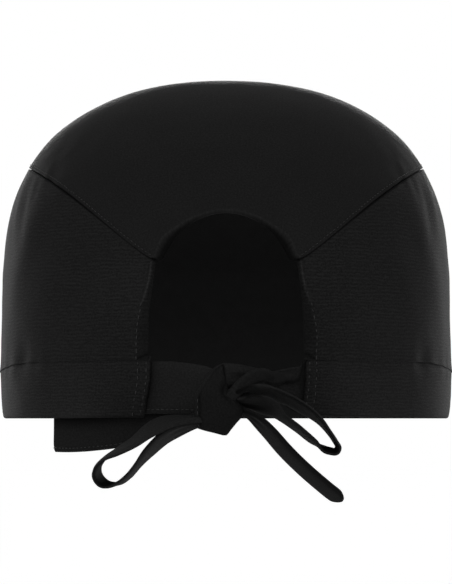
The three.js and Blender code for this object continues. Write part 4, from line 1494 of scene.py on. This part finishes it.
stitchRows = stitchTree()
stitchLook = {
    "seam_stitches": {"pitch": 1.9, "length": 1.0, "thread": 0.24, "wander": 0.14, "seed": 3},
    "opening_stitches": {"pitch": 2.4, "length": 1.6, "thread": 0.34, "wander": 0.08, "seed": 5},
    "band_stitches": {"pitch": 2.5, "length": 1.5, "thread": 0.38, "wander": 0.08, "seed": 8},
    "tie_stitches": {"pitch": 2.0, "length": 1.3, "thread": 0.3, "wander": 0.06, "seed": 11},
}


def stitchPiece(name, lines):
    look = stitchLook[name]
    curve = bpy.data.curves.new(name + "Line", "CURVE")
    curve.dimensions = "3D"
    for line in lines:
        spline = curve.splines.new("POLY")
        spline.points.add(len(line) - 1)
        for point, p in zip(spline.points, line):
            point.co = (*(p * millimetre), 1)
    guide = bpy.data.objects.new(name + "Line", curve)
    scene.collection.objects.link(guide)
    rows = guide.modifiers.new("rows", "NODES")
    rows.node_group = stitchRows
    sockets = {item.name: item.identifier for item in stitchRows.interface.items_tree if item.in_out == "INPUT"}
    rows[sockets["Pitch"]] = look["pitch"] * millimetre
    rows[sockets["Stitch length"]] = look["length"] * millimetre
    rows[sockets["Thread"]] = look["thread"] * millimetre
    rows[sockets["Wander"]] = look["wander"] * millimetre
    rows[sockets["Seed"]] = look["seed"]
    rows[sockets["Finish"]] = finishes["thread"]
    ready = guide.evaluated_get(bpy.context.evaluated_depsgraph_get())
    mesh = bpy.data.meshes.new_from_object(ready)
    mesh.name = name
    bpy.data.objects.remove(guide)
    piece = bpy.data.objects.new(name, mesh)
    scene.collection.objects.link(piece)
    print(name, len(mesh.polygons), "faces")
    return piece


def besideSeam(distance, lift):
    line = []
    for angle in anglesRound(archAngle + 0.01, 2 * math.pi - archAngle - 0.01, 500):
        here = capPoint(angle, seamAt(angle))
        ahead = capPoint(angle + 0.002, seamAt(angle + 0.002)) - capPoint(angle - 0.002, seamAt(angle - 0.002))
        normal = surfaceFrame(angle, seamAt(angle))[3]
        up = normal.cross(ahead).normalized()
        if up.z < 0:
            up.negate()
        p = here + up * distance
        line.append(p + normal * (crownRelief(p) + lift))
    return line


def besideHem(side, low, high, lift):
    line = []
    for i in range(40):
        height = mix(low, high, i / 39)
        edge, hem = besideOpening(side, height)
        angle = angleAcross(edge, height) + hem / opening["reach"]
        point, _, _, normal = surfaceFrame(side * angle, height)
        rise = wallRelief(point, side * angle, height, hem, hem)
        line.append(point + normal * (rise + lift))
    return line


def besideBandEnd(side, gap, low, high, lift):
    line = []
    for i in range(30):
        height = mix(low, high, i / 29)
        angle = angleAcross(tableAt(bandEnds[side], height), height) + gap / opening["reach"]
        foot = tableAt(footRoll, height)
        point, _, _, normal = surfaceFrame(side * angle, height, band["setback"] + foot)
        plain = capPoint(side * angle, height)
        rise = bandRelief(plain, side * angle, height, bandTopAt(side * angle), gap, bandRowGaps[side])
        line.append(point + normal * (rise + lift))
    return line


def besideStrap(path, side, start, end, share, face, lift=0.05):
    line = []
    for i in range(60):
        t = mix(start, end, i / 59)
        middle, along, across, out = strapFrame(path, t, side)
        half = path.value("width", t) / 2
        thin = path.value("thickness", t) / 2
        cup, pleat = path.value("cup", t), path.value("pleat", t)
        fold = pleat * math.cos(share * 2.6 * math.pi + 0.7)
        bend = cup * (0.33 - share * share)
        height = face * (thin * 0.86 + lift) + bend + fold
        line.append(middle + across * (share * half) + out * height)
    return line


def knotRow():
    # down the left edge of the knot, on its front
    line = []
    for i in range(20):
        z = mix(8.6, -2.4, i / 19)
        left = tableAt([(row[0], row[1]) for row in knotSections], z)
        front = tableAt([(row[0], row[3]) for row in knotSections], z)
        line.append(Vector((left + 1.3, knotMiddle.y - 0.62 * front - 0.5, z)))
    return line


crown = makeCrown()
print("crown made", len(crown.data.polygons))
wall = makeWall()
print("side wall made", len(wall.data.polygons))
rimBand = makeBand()
print("rim band made", len(rimBand.data.polygons))

tieLeft, tieLeftPath = strapPiece("tie_left_cloth", tieRows(tieLeftRows, -1), -1, 60, finishes["tie_cloth"])
tieRight, tieRightPath = strapPiece("tie_right_cloth", tieRows(tieRightRows, 1), 1, 90, finishes["tie_cloth"])
knot = makeKnot()
finger, _ = strapPiece("knot_turn", fingerPath(), 1, 40, finishes["tie_cloth"])
loopLeftMade = hangingRows(loopLeftRows, -1, bow["loopReachLeft"], bow["loopDropLeft"])
loopLeft, loopLeftPath = strapPiece("loop_left_cloth", loopLeftMade, -1, 200, finishes["tie_cloth"])
loopRightMade = hangingRows(loopRightRows, 1, bow["loopReachRight"], bow["loopDropRight"])
loopRight, loopRightPath = strapPiece("loop_right_cloth", loopRightMade, 1, 200, finishes["tie_cloth"])
tailRightMade = hangingRows(tailRightRows, 1, bow["tailReachRight"], bow["tailDropRight"])
tailRight, tailRightPath = strapPiece(
    "tail_right_cloth", tailRightMade, 1, 120, finishes["tie_cloth"], endRound=(0, 3.4)
)
tailLeft, tailLeftLine = strapPiece(
    "tail_left_cloth", tailLeftPath(), -1, 110, finishes["tie_cloth"], endRound=(0, 0.8)
)
print("bow made")

seamStitches = stitchPiece("seam_stitches", [besideSeam(1.5, 0.14)])
openingStitches = stitchPiece("opening_stitches", [besideHem(-1, 22.6, 42.6, 0.06), besideHem(1, 22.6, 42.6, 0.06)])
bandStitches = stitchPiece(
    "band_stitches",
    [
        besideBandEnd(-1, bandRowGaps[-1][0], 2.6, 20.5, 0.06),
        besideBandEnd(-1, bandRowGaps[-1][1], 1.6, 20.5, 0.06),
        besideBandEnd(1, bandRowGaps[1][0], 5.4, 20.5, 0.06),
        besideBandEnd(1, bandRowGaps[1][1], 3.4, 20.5, 0.06),
    ],
)
tieStitches = stitchPiece(
    "tie_stitches",
    [
        besideStrap(tieLeftPath, -1, 0.2, 0.8, -0.84, 1),
        besideStrap(tailLeftLine, -1, 0.3, 0.99, 0.84, 1),
        knotRow(),
    ],
)

for piece, node, slotName in (
    (crown, "crown", "cap_cloth"),
    (wall, "side_wall", "cap_cloth"),
    (rimBand, "rim_band", "band_cloth"),
    (tieLeft, "tie_left", "tie_cloth"),
    (tieRight, "tie_right", "tie_cloth"),
    (knot, "knot", "tie_cloth"),
    (finger, "knot", "tie_cloth"),
    (loopLeft, "loop_left", "tie_cloth"),
    (loopRight, "loop_right", "tie_cloth"),
    (tailLeft, "tail_left", "tie_cloth"),
    (tailRight, "tail_right", "tie_cloth"),
):
    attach(piece, "root")
    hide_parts(node)
for piece, slotName in (
    (seamStitches, "cap_cloth"),
    (openingStitches, "cap_cloth"),
    (bandStitches, "band_cloth"),
    (tieStitches, "tie_cloth"),
):
    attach(piece, "root")
receivers = bpy.data.collections.new("lit_from_below")
for piece in (crown, wall, rimBand, tieLeft):
    receivers.objects.link(piece)
bpy.data.objects["hollowLight"].light_linking.receiver_collection = receivers
print("pieces placed")
